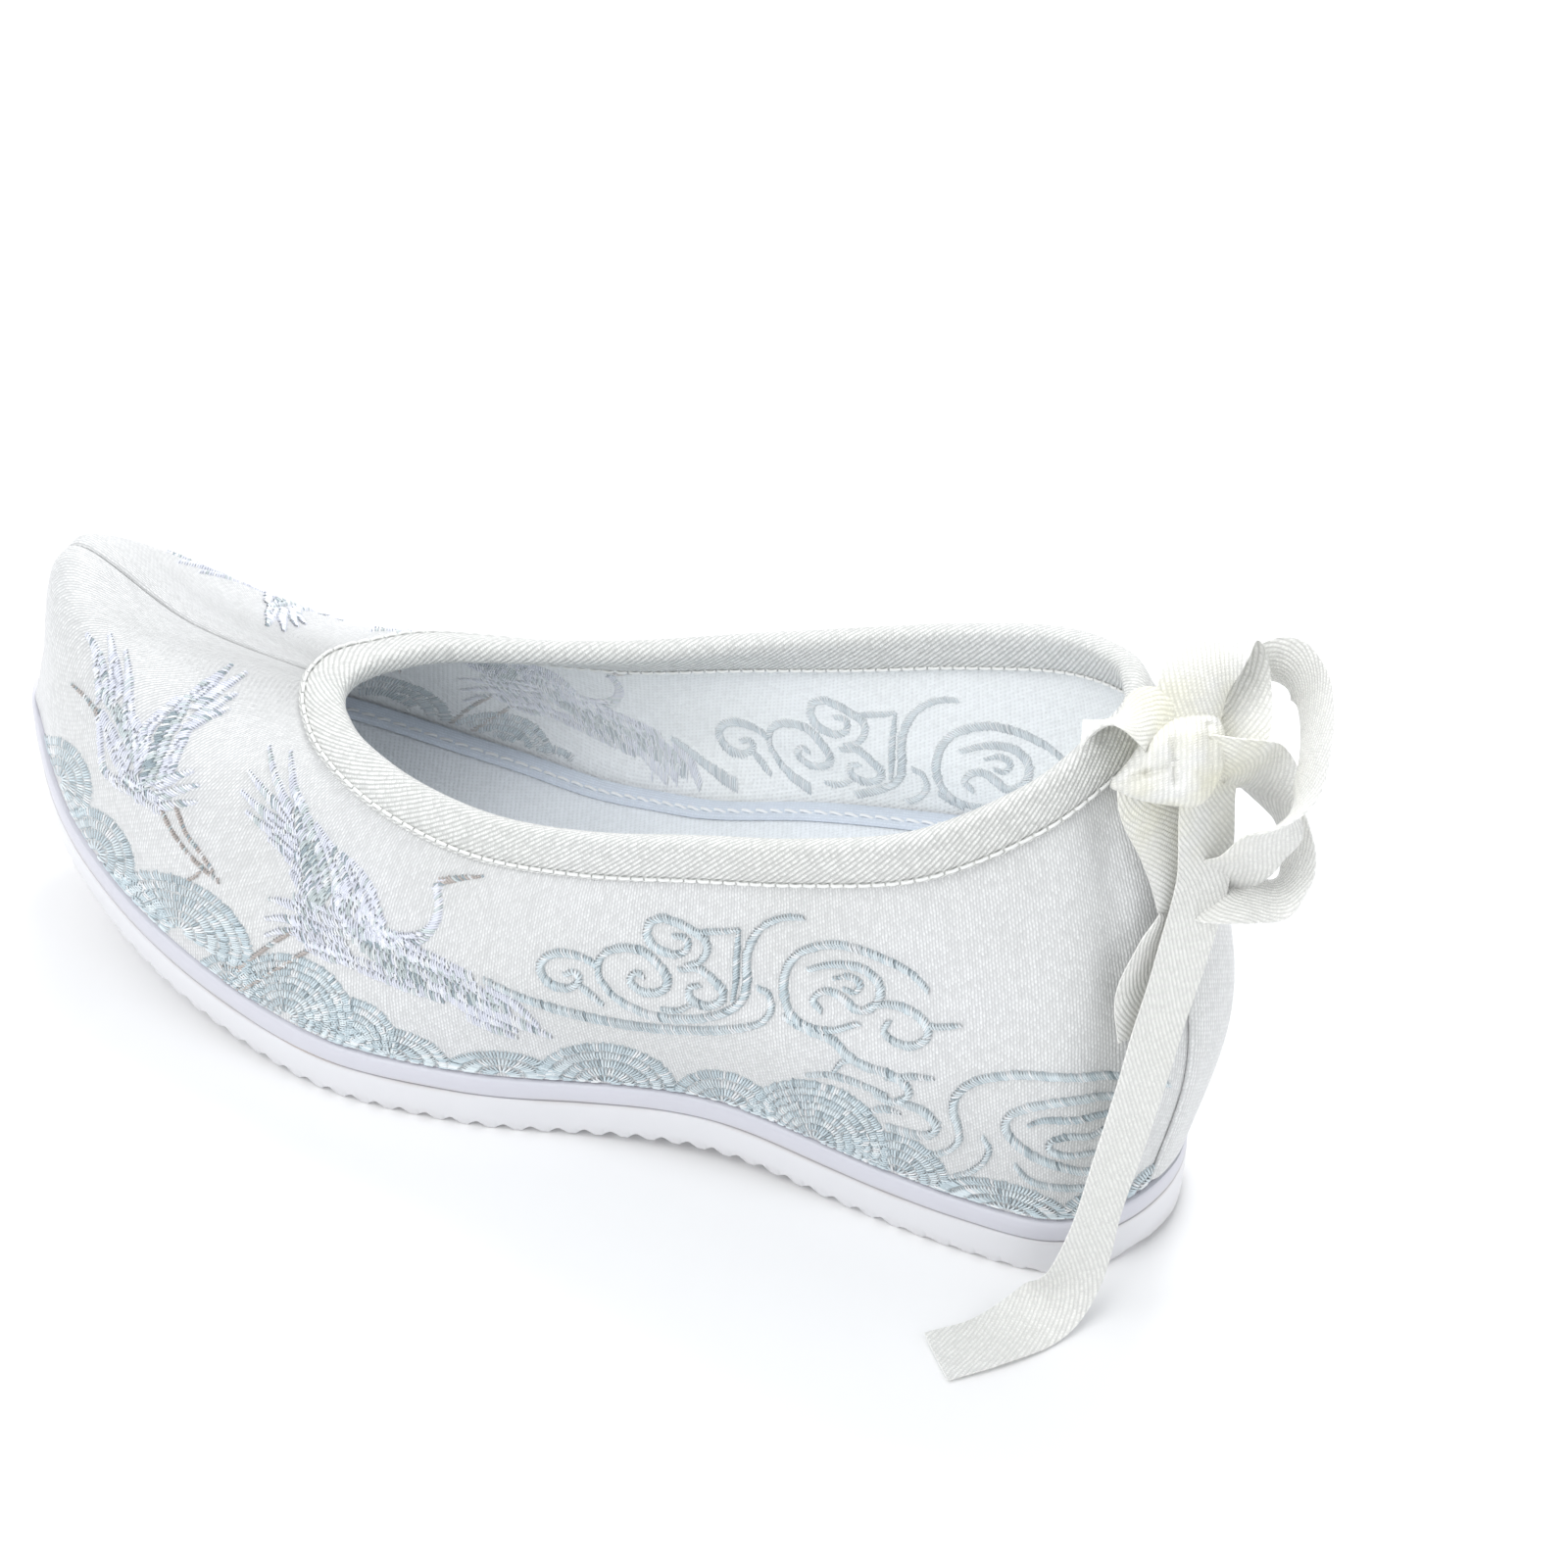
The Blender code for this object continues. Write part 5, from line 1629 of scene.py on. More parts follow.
def thread_tree():
    """Each line of points becomes a length of thread, pressed flat on the cloth."""
    found = bpy.data.node_groups.get("Laid thread")
    if found:
        return found
    net, given, result = new_group(
        "Laid thread",
        "GeometryNodeTree",
        (
            ("Lines", "NodeSocketGeometry", None),
            ("Thread thickness", "NodeSocketFloat", 0.0004),
            ("Sides", "NodeSocketInt", 3),
            ("Finish", "NodeSocketMaterial", None),
        ),
        (("Threads", "NodeSocketGeometry"),),
    )
    lines = net.add("GeometryNodeMeshToCurve", {"Mesh": given.outputs["Lines"]})
    outward = net.add("GeometryNodeInputNamedAttribute", {"Name": "outward"}, data_type="FLOAT_VECTOR")
    lying = net.add("GeometryNodeSetCurveNormal", {"Curve": lines.outputs["Curve"]}, mode="FREE")
    net.feed(lying.inputs["Normal"], outward.outputs["Attribute"])
    ring = net.add("GeometryNodeCurvePrimitiveCircle")
    net.feed(ring.inputs["Resolution"], given.outputs["Sides"])
    net.feed(ring.inputs["Radius"], net.math("MULTIPLY", given.outputs["Thread thickness"], THREAD_SPREAD))
    # Marks the sides of the thread, which its material paints in shade
    flank = net.math("GREATER_THAN", net.add("GeometryNodeInputIndex").outputs["Index"], 0.5)
    inputs = {"Geometry": ring.outputs["Curve"], "Name": "flank", "Value": flank}
    marked = net.add("GeometryNodeStoreNamedAttribute", inputs)
    flat = net.add("GeometryNodeTransform", {"Geometry": marked.outputs["Geometry"]})
    flat.inputs["Scale"].default_value = (THREAD_FLATNESS, 1.0, 1.0)
    inputs = {"Curve": lying.outputs["Curve"], "Profile Curve": flat.outputs["Geometry"], "Fill Caps": True}
    thread = net.add("GeometryNodeCurveToMesh", inputs)
    crisp = net.add("GeometryNodeSetShadeSmooth", {"Geometry": thread.outputs["Mesh"], "Shade Smooth": False})
    real = net.add("GeometryNodeRealizeInstances", {"Geometry": crisp.outputs["Geometry"]})
    finish = net.add("GeometryNodeSetMaterial", {"Geometry": real.outputs["Geometry"]})
    net.feed(finish.inputs["Material"], given.outputs["Finish"])
    net.feed(result.inputs["Threads"], finish.outputs["Geometry"])
    return net.tree


def run_tree(piece, tree, values):
    """Gives the piece the tree's result as its plain mesh."""
    modifier = piece.modifiers.new(tree.name, "NODES")
    modifier.node_group = tree
    for item in tree.interface.items_tree:
        if item.in_out == "INPUT" and item.name in values:
            modifier[item.identifier] = values[item.name]
    bpy.context.view_layer.update()
    graph = bpy.context.evaluated_depsgraph_get()
    made = bpy.data.meshes.new_from_object(piece.evaluated_get(graph), depsgraph=graph)
    piece.modifiers.remove(modifier)
    piece.data = made
    if not made.polygons:
        raise RuntimeError(f"{piece.name}: the node tree made no faces")
    return piece


def line_object(name, points, edges):
    mesh = bpy.data.meshes.new(name)
    mesh.from_pydata((points * MM).tolist(), edges.tolist(), [])
    piece = bpy.data.objects.new(name, mesh)
    bpy.context.scene.collection.objects.link(piece)
    return piece


def stitch_row(name, path, normals, stitch, finish, closed):
    count = len(path)
    edges = np.column_stack([np.arange(count), np.arange(1, count + 1) % count])
    piece = line_object(name, path, edges if closed else edges[:-1])
    outward = piece.data.attributes.new("outward", "FLOAT_VECTOR", "POINT")
    outward.data.foreach_set("vector", np.asarray(normals, np.float32).ravel())
    values = {
        "Spacing": stitch * SEAM_SPACING,
        "Stitch length": stitch,
        "Thread thickness": sizes().thread * SEAM_THREAD,
        "Bow": sizes().thread * SEAM_BOW,
        "Finish": finish,
    }
    return run_tree(piece, stitch_row_tree(), values)


# Embroidery: strokes of satin stitch, each with its thread, its width along the stroke and its chart points
Stroke = namedtuple("Stroke", "thread widths points")
SMALL_CRANE = (
    Stroke("feather", (5, 14, 17), ((89, 648), (97, 662), (103, 688), (106, 710))),
    Stroke("feather", (5, 13, 16), ((112, 648), (115, 668), (118, 690), (119, 714))),
    Stroke("feather", (4, 11, 14), ((128, 664), (131, 685), (131, 710), (132, 740))),
    Stroke("feather", (8, 16, 22), ((104, 728), (111, 745), (119, 765), (130, 786))),
    Stroke("feather", (10, 16, 20), ((137, 735), (142, 755), (146, 782))),
    Stroke("feather_shade", (8, 15, 14), ((103, 705), (115, 722), (128, 742), (140, 770))),
    Stroke("feather", (12, 13, 9), ((148, 775), (150, 748), (164, 729), (184, 712))),
    Stroke("feather", (14, 12, 4), ((193, 714), (213, 697), (236, 679))),
    Stroke("feather", (12, 11, 4), ((199, 723), (225, 703), (251, 687))),
    Stroke("feather", (12, 10, 4), ((198, 734), (222, 718), (241, 708))),
    Stroke("feather", (12, 10, 4), ((192, 742), (212, 731), (233, 723))),
    Stroke("feather", (16, 15, 10), ((168, 796), (178, 768), (192, 742))),
    Stroke("feather_shade", (12, 18, 18, 8), ((145, 806), (157, 780), (167, 752), (192, 712))),
    Stroke("feather", (12, 20, 16), ((116, 797), (138, 806), (165, 824))),
    Stroke("feather", (14, 16), ((128, 790), (146, 800))),
    Stroke("feather", (14, 10, 4), ((158, 802), (180, 792), (196, 787))),
    Stroke("feather", (14, 10, 4), ((160, 813), (182, 806), (202, 801))),
    Stroke("feather", (12, 9, 4), ((164, 823), (184, 820), (200, 818))),
    Stroke("feather", (9, 7, 6, 6), ((118, 797), (106, 785), (103, 763), (102, 738))),
    Stroke("feather", (7, 7), ((102, 740), (100, 727))),
    Stroke("leg", (6, 4, 2), ((100, 728), (88, 712), (74, 698))),
    Stroke("leg", (4, 4, 5), ((163, 822), (174, 845), (190, 868), (207, 886), (223, 899))),
    Stroke("leg", (4, 4, 4), ((180, 824), (190, 850), (203, 868), (217, 889))),
    Stroke("leg", (4, 3), ((205, 884), (201, 893), (194, 897))),
)
LARGE_CRANE = (
    Stroke("feather", (4, 9, 12), ((275, 762), (279, 785), (286, 806), (297, 828))),
    Stroke("feather", (4, 9, 11), ((297, 768), (298, 788), (301, 808), (308, 822))),
    Stroke("feather", (4, 11, 13), ((254, 787), (268, 806), (283, 822), (299, 839))),
    Stroke("feather", (4, 12, 14), ((247, 808), (262, 823), (280, 838), (302, 854))),
    Stroke("feather", (4, 12, 14), ((252, 829), (268, 843), (285, 855), (305, 871))),
    Stroke("feather", (5, 13, 15), ((274, 857), (290, 869), (307, 887))),
    Stroke("feather", (6, 12, 14), ((296, 890), (304, 900), (314, 912))),
    Stroke("feather", (6, 16, 22), ((322, 842), (334, 866), (345, 890), (352, 918))),
    Stroke("feather", (6, 18, 22, 14), ((347, 872), (362, 892), (374, 914), (390, 948))),
    Stroke("feather_shade", (7, 20, 28, 24), ((302, 806), (309, 838), (318, 876), (330, 922))),
    Stroke("feather", (24, 28, 24), ((304, 926), (330, 937), (356, 944))),
    Stroke("feather", (22, 34, 26), ((340, 912), (362, 932), (392, 952))),
    Stroke("feather", (22, 26, 20), ((302, 948), (328, 958), (356, 968))),
    Stroke("feather", (10, 16, 12), ((314, 966), (334, 973), (352, 978))),
    Stroke("feather", (4, 10, 14), ((275, 917), (290, 921), (308, 928))),
    Stroke("feather", (4, 9, 12), ((272, 937), (288, 937), (306, 941))),
    Stroke("feather", (4, 8, 10), ((272, 954), (286, 950), (303, 951))),
    Stroke("feather", (12, 18, 16, 9), ((368, 936), (396, 957), (430, 975), (482, 997))),
    Stroke("feather", (12, 16, 14, 8), ((346, 976), (374, 987), (408, 1001), (452, 1020))),
    Stroke("feather", (10, 11, 4), ((452, 1013), (482, 1031), (527, 1051))),
    Stroke("feather", (10, 12, 4), ((488, 1024), (516, 1038), (562, 1057))),
    Stroke("feather", (8, 9, 4), ((478, 1038), (503, 1049), (527, 1058))),
    Stroke("feather", (8, 10, 4), ((498, 1008), (522, 1022), (549, 1046))),
    Stroke("feather_shade", (12, 24, 26, 24, 10), (
        (352, 946), (384, 970), (428, 991), (478, 1011), (520, 1030),
    )),
    Stroke("feather", (24, 17, 12, 9, 8), ((388, 957), (420, 958), (438, 948), (447, 930), (446, 904))),
    Stroke("feather", (9, 10), ((446, 906), (452, 898))),
    Stroke("leg", (9, 6, 2), ((452, 899), (468, 896), (493, 894))),
    Stroke("leg", (5, 5, 5), ((300, 949), (280, 961), (262, 974), (247, 986))),
    Stroke("leg", (5, 5, 5), ((317, 968), (291, 983), (268, 997), (248, 1009))),
    Stroke("leg", (4, 2), ((249, 985), (238, 996), (226, 1001))),
    Stroke("leg", (4, 2), ((250, 984), (238, 986), (228, 985))),
    Stroke("leg", (4, 2), ((250, 1008), (238, 1010), (230, 1012))),
)
CLOUD_WIDTH = (6, 9.5, 9.5, 9.5, 6)
CLOUD_THIN = (4, 7, 7, 4)
CLOUDS = (
    Stroke("wave", CLOUD_WIDTH, (
        (612, 988), (600, 979), (580, 973), (562, 974), (552, 983), (554, 996), (566, 1006), (582, 1007),
        (591, 999), (586, 992), (577, 994),
    )),
    Stroke("wave", CLOUD_THIN, ((590, 1004), (601, 1013), (615, 1024))),
    Stroke("wave", CLOUD_WIDTH, (
        (612, 1000), (610, 985), (618, 972), (636, 967), (656, 971), (671, 983), (681, 999), (676, 1010),
        (661, 1013), (648, 1007), (643, 999), (649, 992), (657, 996),
    )),
    Stroke("wave", CLOUD_WIDTH, (
        (700, 985), (714, 981), (722, 968), (717, 956), (705, 949), (690, 941), (674, 937), (662, 944),
        (662, 958), (675, 970), (692, 973), (702, 966), (698, 956), (688, 955),
    )),
    Stroke("wave", CLOUD_WIDTH, (
        (694, 989), (714, 989), (730, 1002), (738, 1013), (733, 1023), (719, 1026), (705, 1019),
        (704, 1008), (714, 1005),
    )),
    Stroke("wave", CLOUD_THIN, ((676, 1029), (690, 1031), (705, 1025))),
    Stroke("wave", CLOUD_THIN, ((708, 951), (735, 950), (754, 948))),
    Stroke("wave", CLOUD_WIDTH, (
        (612, 998), (624, 1014), (645, 1028), (670, 1037), (700, 1040), (735, 1035), (756, 1022),
        (762, 1003), (762, 978), (768, 958), (780, 944), (800, 936), (820, 936),
    )),
    Stroke("wave_deep", CLOUD_THIN, ((754, 950), (752, 975), (751, 1000), (748, 1020))),
    Stroke("wave", CLOUD_WIDTH, (
        (495, 1000), (530, 1017), (570, 1030), (610, 1040), (650, 1047), (700, 1051), (745, 1050),
        (775, 1044), (787, 1030), (784, 1014), (774, 1008),
    )),
    Stroke("wave", CLOUD_WIDTH, (
        (946, 1012), (928, 994), (900, 978), (870, 967), (845, 964), (820, 970), (806, 982), (800, 1000),
        (801, 1020), (809, 1037), (826, 1048), (850, 1051), (876, 1044),
    )),
    Stroke("wave", CLOUD_WIDTH, (
        (826, 989), (850, 984), (876, 987), (894, 1000), (898, 1016), (888, 1029), (874, 1030),
        (862, 1020), (850, 1012), (838, 1012), (830, 1021), (838, 1031),
    )),
    Stroke("wave_deep", CLOUD_THIN, ((852, 998), (866, 996), (878, 1004), (872, 1012), (862, 1009))),
    Stroke("wave", CLOUD_WIDTH, (
        (886, 1027), (905, 1025), (926, 1031), (943, 1044), (946, 1058), (931, 1067), (913, 1063),
        (902, 1052), (907, 1042),
    )),
    Stroke("wave", CLOUD_THIN, ((944, 1047), (960, 1048), (980, 1046))),
    Stroke("wave", CLOUD_WIDTH, (
        (800, 1037), (813, 1046), (832, 1054), (850, 1062), (864, 1076), (880, 1087), (905, 1095),
        (924, 1107), (926, 1118), (911, 1124), (893, 1116),
    )),
    Stroke("wave", CLOUD_THIN, ((852, 1092), (860, 1083), (872, 1082), (886, 1088))),
    Stroke("wave", CLOUD_THIN, ((822, 1096), (850, 1097), (880, 1107), (905, 1117))),
    Stroke("wave", CLOUD_THIN, ((905, 1100), (928, 1098), (952, 1100))),
    Stroke("wave", CLOUD_WIDTH, (
        (918, 1124), (942, 1134), (955, 1148), (949, 1157), (932, 1157), (906, 1149),
    )),
    Stroke("wave_deep", CLOUD_THIN, ((880, 1136), (900, 1131), (918, 1135))),
    Stroke("wave", CLOUD_WIDTH, (
        (1192, 1106), (1150, 1102), (1100, 1100), (1050, 1097), (1015, 1099), (992, 1105), (976, 1118),
        (973, 1134), (978, 1152), (977, 1166), (965, 1175), (948, 1178),
    )),
    Stroke("wave", CLOUD_THIN, ((1003, 1160), (1009, 1173), (1002, 1187), (988, 1196), (970, 1200))),
    Stroke("wave", CLOUD_WIDTH, (
        (1180, 1120), (1135, 1122), (1090, 1124), (1052, 1130), (1031, 1138), (1026, 1151), (1036, 1166),
        (1055, 1180), (1080, 1190), (1108, 1195), (1150, 1190),
    )),
    Stroke("wave_deep", CLOUD_THIN, ((1140, 1136), (1100, 1143), (1065, 1143), (1050, 1148))),
    Stroke("wave", CLOUD_THIN, (
        (1130, 1150), (1112, 1159), (1090, 1160), (1072, 1165), (1072, 1174), (1090, 1179), (1118, 1175),
    )),
    Stroke("wave", CLOUD_THIN, ((1036, 1189), (1049, 1203), (1068, 1210), (1100, 1212), (1140, 1206))),
)

# Wave fans along the sole: both ends of the foot of the fan, its rise, and the layer that it lies on
Fan = namedtuple("Fan", "left right rise layer")
FANS = (
    Fan((44, 752), (78, 838), 31, 1),
    Fan((72, 826), (124, 914), 35, 2),
    Fan((104, 893), (170, 956), 24, 1),
    Fan((112, 905), (254, 994), 50, 2),
    Fan((204, 981), (266, 1024), 26, 1),
    Fan((228, 1003), (356, 1070), 62, 3),
    Fan((304, 1046), (404, 1082), 46, 2),
    Fan((338, 1061), (460, 1093), 29, 3),
    Fan((452, 1090), (572, 1101), 23, 2),
    Fan((545, 1098), (692, 1117), 43, 3),
    Fan((686, 1113), (792, 1146), 36, 2),
    Fan((758, 1132), (904, 1197), 60, 3),
    Fan((858, 1174), (968, 1224), 41, 2),
    Fan((948, 1214), (1108, 1260), 30, 3),
    Fan((1076, 1257), (1172, 1236), 34, 2),
    Fan((1150, 1246), (1206, 1186), 24, 3),
)
# Waves: width of a ring and closeness of its stitches, the open eye, and the unevenness of the rings' edges
FAN_RING = 8.0
FAN_LEAST_RINGS = 2
FAN_LEAST_STITCHES = 6
FAN_JITTER = 0.012
FAN_CLOSENESS = 0.85
FAN_EYE = 0.07
FAN_LIFT = 0.16
FAN_LAYER = 0.1
CLOUD_LIFT = 0.55
CRANE_LIFT = 0.5
CLOUD_SLANT = 0.8
FEATHER_SLANT = 0.85
STROKE_SAMPLES = 30
STROKE_LEAST_STITCHES = 3
STITCH_LONGEST = 12.0
STITCH_JITTER = 0.08
CUT_JITTER = 0.3
SHADE_JITTER = 0.07
GLINT_SHARE = 0.12
GLINT = 0.25
# Four points of a stitch, as shares of its length and of its lift. Where it sinks into the cloth it is
# darker, as painted shade, and fan and crane stitches have a painted highlight in the middle
STITCH_PLACES = (0.0, 0.25, 0.75, 1.0)
STITCH_HEIGHTS = (-0.15, 1.0, 1.0, -0.15)
FAN_PAINTED_LIGHT = (0.58, 1.08, 1.1, 0.66)
CLOUD_PAINTED_LIGHT = (0.6, 0.98, 0.98, 0.6)
CRANE_PAINTED_LIGHT = (0.93, 1.0, 1.03, 0.95)
# Share of the tones that shows where the threads come through to the lining
BACK_FADE = 0.6
BACK_LIFT = 0.5
BACK_ABOVE_INSOLE = 1.5
# Other thread that is laid among a thread's stitches, and its share
MIXED_THREAD = {
    "feather": ("feather_shade", 0.12),
    "feather_shade": ("feather", 0.36),
    "wave": ("wave_deep", 0.15),
    "wave_deep": ("wave", 0.15),
    "leg": ("feather_shade", 0.1),
}
# Share of every second stitch that is the darker thread of painted shade between the stitches, and how far
# that lies below the others
GAP_SHADE_SHARE = {"feather": 0.12, "feather_shade": 0.45, "wave": 0.06, "wave_deep": 0.1, "leg": 0.2}
GAP_SHADE_DROP = 0.16
# Search for chart points on the wall: a coarse net of places, then short moves from the nearest of them
CHART_GRID_ALONG = 280
CHART_GRID_UP = 90
CHART_GRID_ENDS = (0.2, LAST_SECTION - 0.05)
CHART_MOVES = 7
CHART_MOVE = 0.2
CHART_STEP = 0.01
CHART_ALONG = (0.05, LAST_SECTION - 0.02)
CHART_UP = (0.03, GUIDES_UP - 0.05)
CHART_REACH = 4.0

Stitches = namedtuple("Stitches", "start end thread lift")


def view_axes():
    """The viewer's eye and the right, up and forward directions of the chart."""
    towards = view_direction()
    eye = np.array(VIEW_TARGET) + towards * VIEW_DISTANCE
    forward = -towards
    right = unit(np.cross(forward, (0.0, 0.0, 1.0)))
    return eye, right, np.cross(right, forward), forward


def to_chart(points):
    """Chart points where the viewer sees these places."""
    eye, right, upward, forward = view_axes()
    off = points - eye
    depth = off @ forward
    return CHART_SIDE / 2 + CHART_FOCAL * np.stack([off @ right / depth, -(off @ upward) / depth], axis=-1)


def chart_guesses(targets):
    """Nearest visible places of a coarse net over the wall."""
    along, up = np.meshgrid(
        np.linspace(*CHART_GRID_ENDS, CHART_GRID_ALONG), np.linspace(0.0, GUIDES_UP, CHART_GRID_UP)
    )
    along, up = along.ravel(), up.ravel()
    points = wall_point(along, up, 1)
    seen = np.sum(wall_normal(along, up, 1) * (view_axes()[0] - points), axis=1) > 0.0
    along, up, net = along[seen], up[seen], to_chart(points[seen])
    tree = KDTree(len(net))
    for place, (x, y) in enumerate(net):
        tree.insert((x, y, 0.0), place)
    tree.balance()
    found = [tree.find((x, y, 0.0))[1] for x, y in targets]
    return along[found], up[found]


def chart_places(targets):
    """Places on the wall, as along and up, that the viewer sees at chart points, and how far each misses."""
    along, up = chart_guesses(targets)
    step = CHART_STEP
    for _ in range(CHART_MOVES):
        here = to_chart(wall_point(along, up, 1))
        by_along = (to_chart(wall_point(along - step, up, 1)) - here) / -step
        by_up = (to_chart(wall_point(along, up - step, 1)) - here) / -step
        miss = targets - here
        area = by_along[:, 0] * by_up[:, 1] - by_along[:, 1] * by_up[:, 0]
        area = np.where(np.abs(area) < 1.0, 1.0, area)
        move_along = (miss[:, 0] * by_up[:, 1] - miss[:, 1] * by_up[:, 0]) / area
        move_up = (by_along[:, 0] * miss[:, 1] - by_along[:, 1] * miss[:, 0]) / area
        along = np.clip(along + np.clip(move_along, -CHART_MOVE, CHART_MOVE), *CHART_ALONG)
        up = np.clip(up + np.clip(move_up, -CHART_MOVE, CHART_MOVE), *CHART_UP)
    return along, up, np.linalg.norm(to_chart(wall_point(along, up, 1)) - targets, axis=1)


def mixed_threads(thread, count, chance):
    """Names of the threads of a run of stitches, with some of another thread among them, and now and then a
    dark thread of painted shade at every second stitch.
    """
    other, share = MIXED_THREAD[thread]
    threads = [other if lot < share else thread for lot in chance.random(count)]
    # Every second stitch may be the dark thread of painted shade
    for place in range(1, count, 2):
        if chance.random() < GAP_SHADE_SHARE[thread]:
            threads[place] = "gap_shade"
    return threads


def thread_lifts(threads, lift):
    """Heights of stitches over the cloth. The dark thread of painted shade lies lower than the rest."""
    return np.array([lift - GAP_SHADE_DROP if thread == "gap_shade" else lift for thread in threads])


def stroke_stitches(stroke, pitch, lift, slant, chance):
    """Satin stitches laid side by side across a stroke. A wide stroke is filled by several shorter ones."""
    points = np.array(stroke.points, float)
    fine = np.linspace(0.0, len(points) - 1.0, len(points) * STROKE_SAMPLES)
    covered = run_length(through(points, fine))
    count = max(int(covered[-1] / pitch), STROKE_LEAST_STITCHES)
    part = np.linspace(0.0, 1.0, count)
    at = np.interp(part * covered[-1], covered, fine)
    middle = through(points, at)
    run = unit(np.gradient(middle, axis=0))
    across = np.stack([-run[:, 1], run[:, 0]], axis=1) + slant * run
    width = np.interp(part, np.linspace(0.0, 1.0, len(stroke.widths)), stroke.widths)
    starts, ends = [], []
    for place in range(count):
        pieces = max(int(math.ceil(width[place] / STITCH_LONGEST)), 1)
        cuts = np.linspace(-0.5, 0.5, pieces + 1)
        cuts[1:-1] += chance.uniform(-CUT_JITTER, CUT_JITTER, pieces - 1) / pieces
        cuts[[0, -1]] *= 1.0 + chance.normal(0.0, STITCH_JITTER, 2)
        reach = middle[place] + across[place] * (width[place] * cuts)[:, None]
        starts.append(reach[:-1])
        ends.append(reach[1:])
    starts, ends = np.concatenate(starts), np.concatenate(ends)
    threads = mixed_threads(stroke.thread, len(starts), chance)
    return Stitches(starts, ends, threads, thread_lifts(threads, lift))


def fan_stitches(fan, pitch, chance):
    """Bands of stitches that spread from the foot of a wave."""
    left, right = np.array(fan.left, float), np.array(fan.right, float)
    middle, half = (left + right) / 2.0, np.linalg.norm(right - left) / 2.0
    foot = unit(right - left)
    rise = np.array([foot[1], -foot[0]]) * fan.rise
    starts, ends, threads = [], [], []
    rings = max(round(fan.rise / FAN_RING), FAN_LEAST_RINGS)
    edges = np.linspace(FAN_EYE, 1.0, rings + 1)
    for ring in range(rings):
        inner, outer = edges[ring : ring + 2]
        reach = (inner + outer) / 2.0
        count = max(int(np.pi * reach * (half + fan.rise) / 2.0 / pitch), FAN_LEAST_STITCHES)
        turn = np.linspace(0.0, np.pi, count)
        spoke = np.cos(turn)[:, None] * foot * half + np.sin(turn)[:, None] * rise
        low = inner + chance.normal(0.0, FAN_JITTER, count)
        high = outer + chance.normal(0.0, FAN_JITTER, count)
        starts.append(middle + spoke * low[:, None])
        ends.append(middle + spoke * high[:, None])
        threads += mixed_threads("wave" if (rings - ring) % 2 == 0 else "wave_deep", count, chance)
    starts, ends = np.concatenate(starts), np.concatenate(ends)
    return Stitches(starts, ends, threads, thread_lifts(threads, FAN_LIFT + FAN_LAYER * fan.layer))


def joined(groups):
    return Stitches(
        np.concatenate([group.start for group in groups]),
        np.concatenate([group.end for group in groups]),
        [thread for group in groups for thread in group.thread],
        np.concatenate([group.lift for group in groups]),
    )


def sewn(strokes, pitch, lift, slant, chance):
    return joined([stroke_stitches(stroke, pitch, lift, slant, chance) for stroke in strokes])


def stitch_lines(stitches):
    """Places along each stitch, as along and up, its height at them, and its thread."""
    count = len(stitches.start)
    along, up, miss = chart_places(np.concatenate([stitches.start, stitches.end]))
    good = (miss[:count] < CHART_REACH) | (miss[count:] < CHART_REACH)
    part = np.array(STITCH_PLACES)
    along = along[:count, None] + (along[count:] - along[:count])[:, None] * part
    up = up[:count, None] + (up[count:] - up[:count])[:, None] * part
    threads = [thread for thread, kept in zip(stitches.thread, good) if kept]
    return along[good], up[good], stitches.lift[good, None] * np.array(STITCH_HEIGHTS), threads


def lay_threads(name, lines, painted_light_along, finish, chance, inside=False):
    """Both sides' stitches as one mesh of laid thread, each stitch with its own tone, some with a painted
    glint, and painted shade and highlight along it.
    """
    along, up, lift, threads = lines
    outward = np.concatenate([wall_normal(along, up, side) for side in SIDES]).reshape(-1, 3)
    if inside:
        rows = [inside_point(along, up, side, WALL + lift) for side in SIDES]
        outward = -outward
    else:
        rows = [skin_point(along, up, side, lift) for side in SIDES]
    points = np.concatenate(rows).reshape(-1, 3)
    per = along.shape[1]
    first = np.arange(2 * len(along)) * per
    edges = np.concatenate([np.column_stack([first + step, first + step + 1]) for step in range(per - 1)])
    piece = line_object(name, points, edges)
    tones = np.array([tuple(getattr(colours(), thread)) for thread in threads] * 2)
    glint = chance.random((len(tones), 1)) < GLINT_SHARE
    tones = tones * (1.0 + chance.normal(0.0, SHADE_JITTER, (len(tones), 1)))
    tones = np.where(glint, 1.0 - (1.0 - tones) * GLINT, tones)
    # Painted shade at each stitch's ends and a painted highlight in its middle
    tones = tones[:, None, :] * np.array(painted_light_along)[None, :, None]
    fade = BACK_FADE if inside else 1.0
    tones = np.clip(1.0 - (1.0 - tones) * fade, 0.0, 1.0).reshape(-1, 3)
    tones = np.column_stack([tones, np.ones(len(tones))])
    facing = piece.data.attributes.new("outward", "FLOAT_VECTOR", "POINT")
    facing.data.foreach_set("vector", np.asarray(outward, np.float32).ravel())
    shade = piece.data.attributes.new("stitch_colour", "FLOAT_COLOR", "POINT")
    shade.data.foreach_set("color", np.asarray(tones, np.float32).ravel())
    values = {"Thread thickness": sizes().thread, "Sides": THREAD_SIDES, "Finish": finish}
    return run_tree(piece, thread_tree(), values)


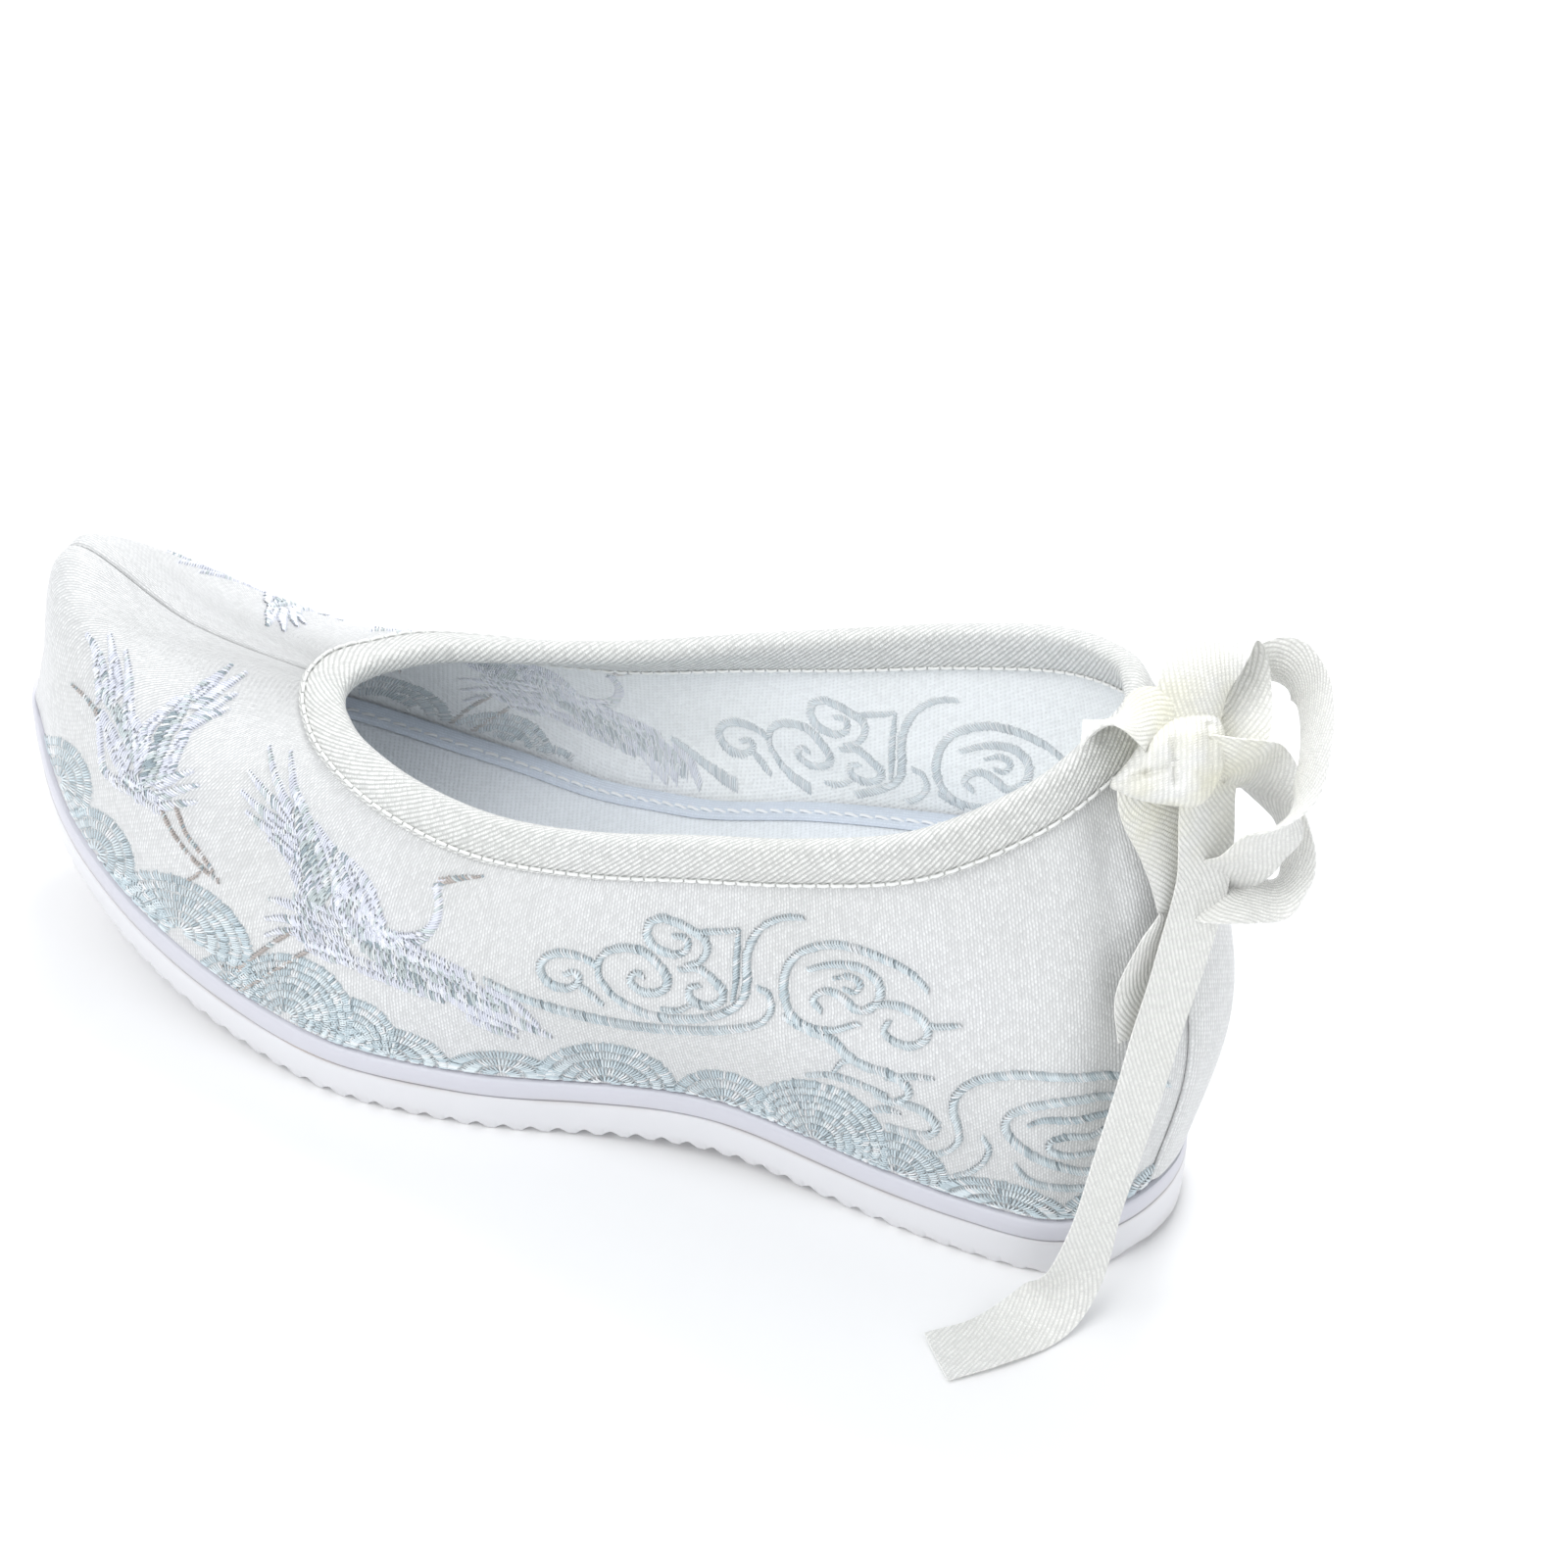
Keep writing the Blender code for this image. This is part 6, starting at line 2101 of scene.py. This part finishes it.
class CLOTHSHOE_OT_embroidery(bpy.types.Operator):
    """Sew the waves, cranes and clouds on both sides, and their backs on the lining"""

    bl_idname = "cloth_shoe.embroidery"
    bl_label = "Embroidery"

    def execute(self, context):
        chance = np.random.default_rng(SEED)
        pitch = sizes().stitch_pitch / MM * CHART_POINTS_PER_MM
        silk = thread_material("Silk thread")
        fans = joined([fan_stitches(fan, pitch * FAN_CLOSENESS, chance) for fan in FANS])
        clouds = sewn(CLOUDS, pitch, CLOUD_LIFT, CLOUD_SLANT, chance)
        cranes = sewn(SMALL_CRANE + LARGE_CRANE, pitch, CRANE_LIFT, FEATHER_SLANT, chance)
        for name, stitches, painted_light_along in (
            ("waves", fans, FAN_PAINTED_LIGHT),
            ("clouds", clouds, CLOUD_PAINTED_LIGHT),
            ("cranes", cranes, CRANE_PAINTED_LIGHT),
        ):
            lines = stitch_lines(stitches)
            face = lay_threads(f"embroidered_{name}", lines, painted_light_along, silk, chance)
            finish_piece(face, "upper")
            lines = thread_backs(lines)
            back = lay_threads(f"lining_{name}", lines, painted_light_along, silk, chance, inside=True)
            finish_piece(back, "upper")
        return {"FINISHED"}


def thread_backs(lines):
    """The stitches that show on the lining, over the insole, where they lie flatter."""
    along, up, lift, threads = lines
    points = inside_point(along, up, 1, WALL)
    shown = np.all(points[..., 2] > footbed_top(points[..., 0]) + BACK_ABOVE_INSOLE, axis=1)
    kept = [thread for thread, seen in zip(threads, shown) if seen]
    return along[shown], up[shown], lift[shown] * BACK_LIFT, kept


class CLOTHSHOE_PT_panel(bpy.types.Panel):
    """Sizes, colours and pieces of the shoe"""

    bl_idname = "CLOTHSHOE_PT_panel"
    bl_label = "Cloth shoe"
    bl_space_type = "VIEW_3D"
    bl_region_type = "UI"
    bl_category = "Cloth shoe"

    def draw(self, context):
        layout = self.layout
        for group in (context.scene.cloth_shoe_sizes, context.scene.cloth_shoe_colours):
            box = layout.box()
            for name in group.__annotations__:
                box.prop(group, name)
        for operator in OPERATORS:
            layout.operator(operator.bl_idname)


OPERATORS = (
    CLOTHSHOE_OT_stage,
    CLOTHSHOE_OT_ribbon,
    CLOTHSHOE_OT_outsole,
    CLOTHSHOE_OT_upper,
    CLOTHSHOE_OT_binding,
    CLOTHSHOE_OT_insole,
    CLOTHSHOE_OT_embroidery,
)
CLASSES = (ClothShoeSizes, ClothShoeColours, *OPERATORS, CLOTHSHOE_PT_panel)


def register():
    for made in CLASSES:
        bpy.utils.register_class(made)
    bpy.types.Scene.cloth_shoe_sizes = bpy.props.PointerProperty(type=ClothShoeSizes)
    bpy.types.Scene.cloth_shoe_colours = bpy.props.PointerProperty(type=ClothShoeColours)


def unregister():
    del bpy.types.Scene.cloth_shoe_colours
    del bpy.types.Scene.cloth_shoe_sizes
    for made in reversed(CLASSES):
        bpy.utils.unregister_class(made)


def main():
    register()
    bpy.ops.cloth_shoe.stage()
    bpy.ops.cloth_shoe.ribbon()
    bpy.ops.cloth_shoe.outsole()
    bpy.ops.cloth_shoe.upper()
    bpy.ops.cloth_shoe.binding()
    bpy.ops.cloth_shoe.insole()
    bpy.ops.cloth_shoe.embroidery()


if __name__ == "__main__":
    main()
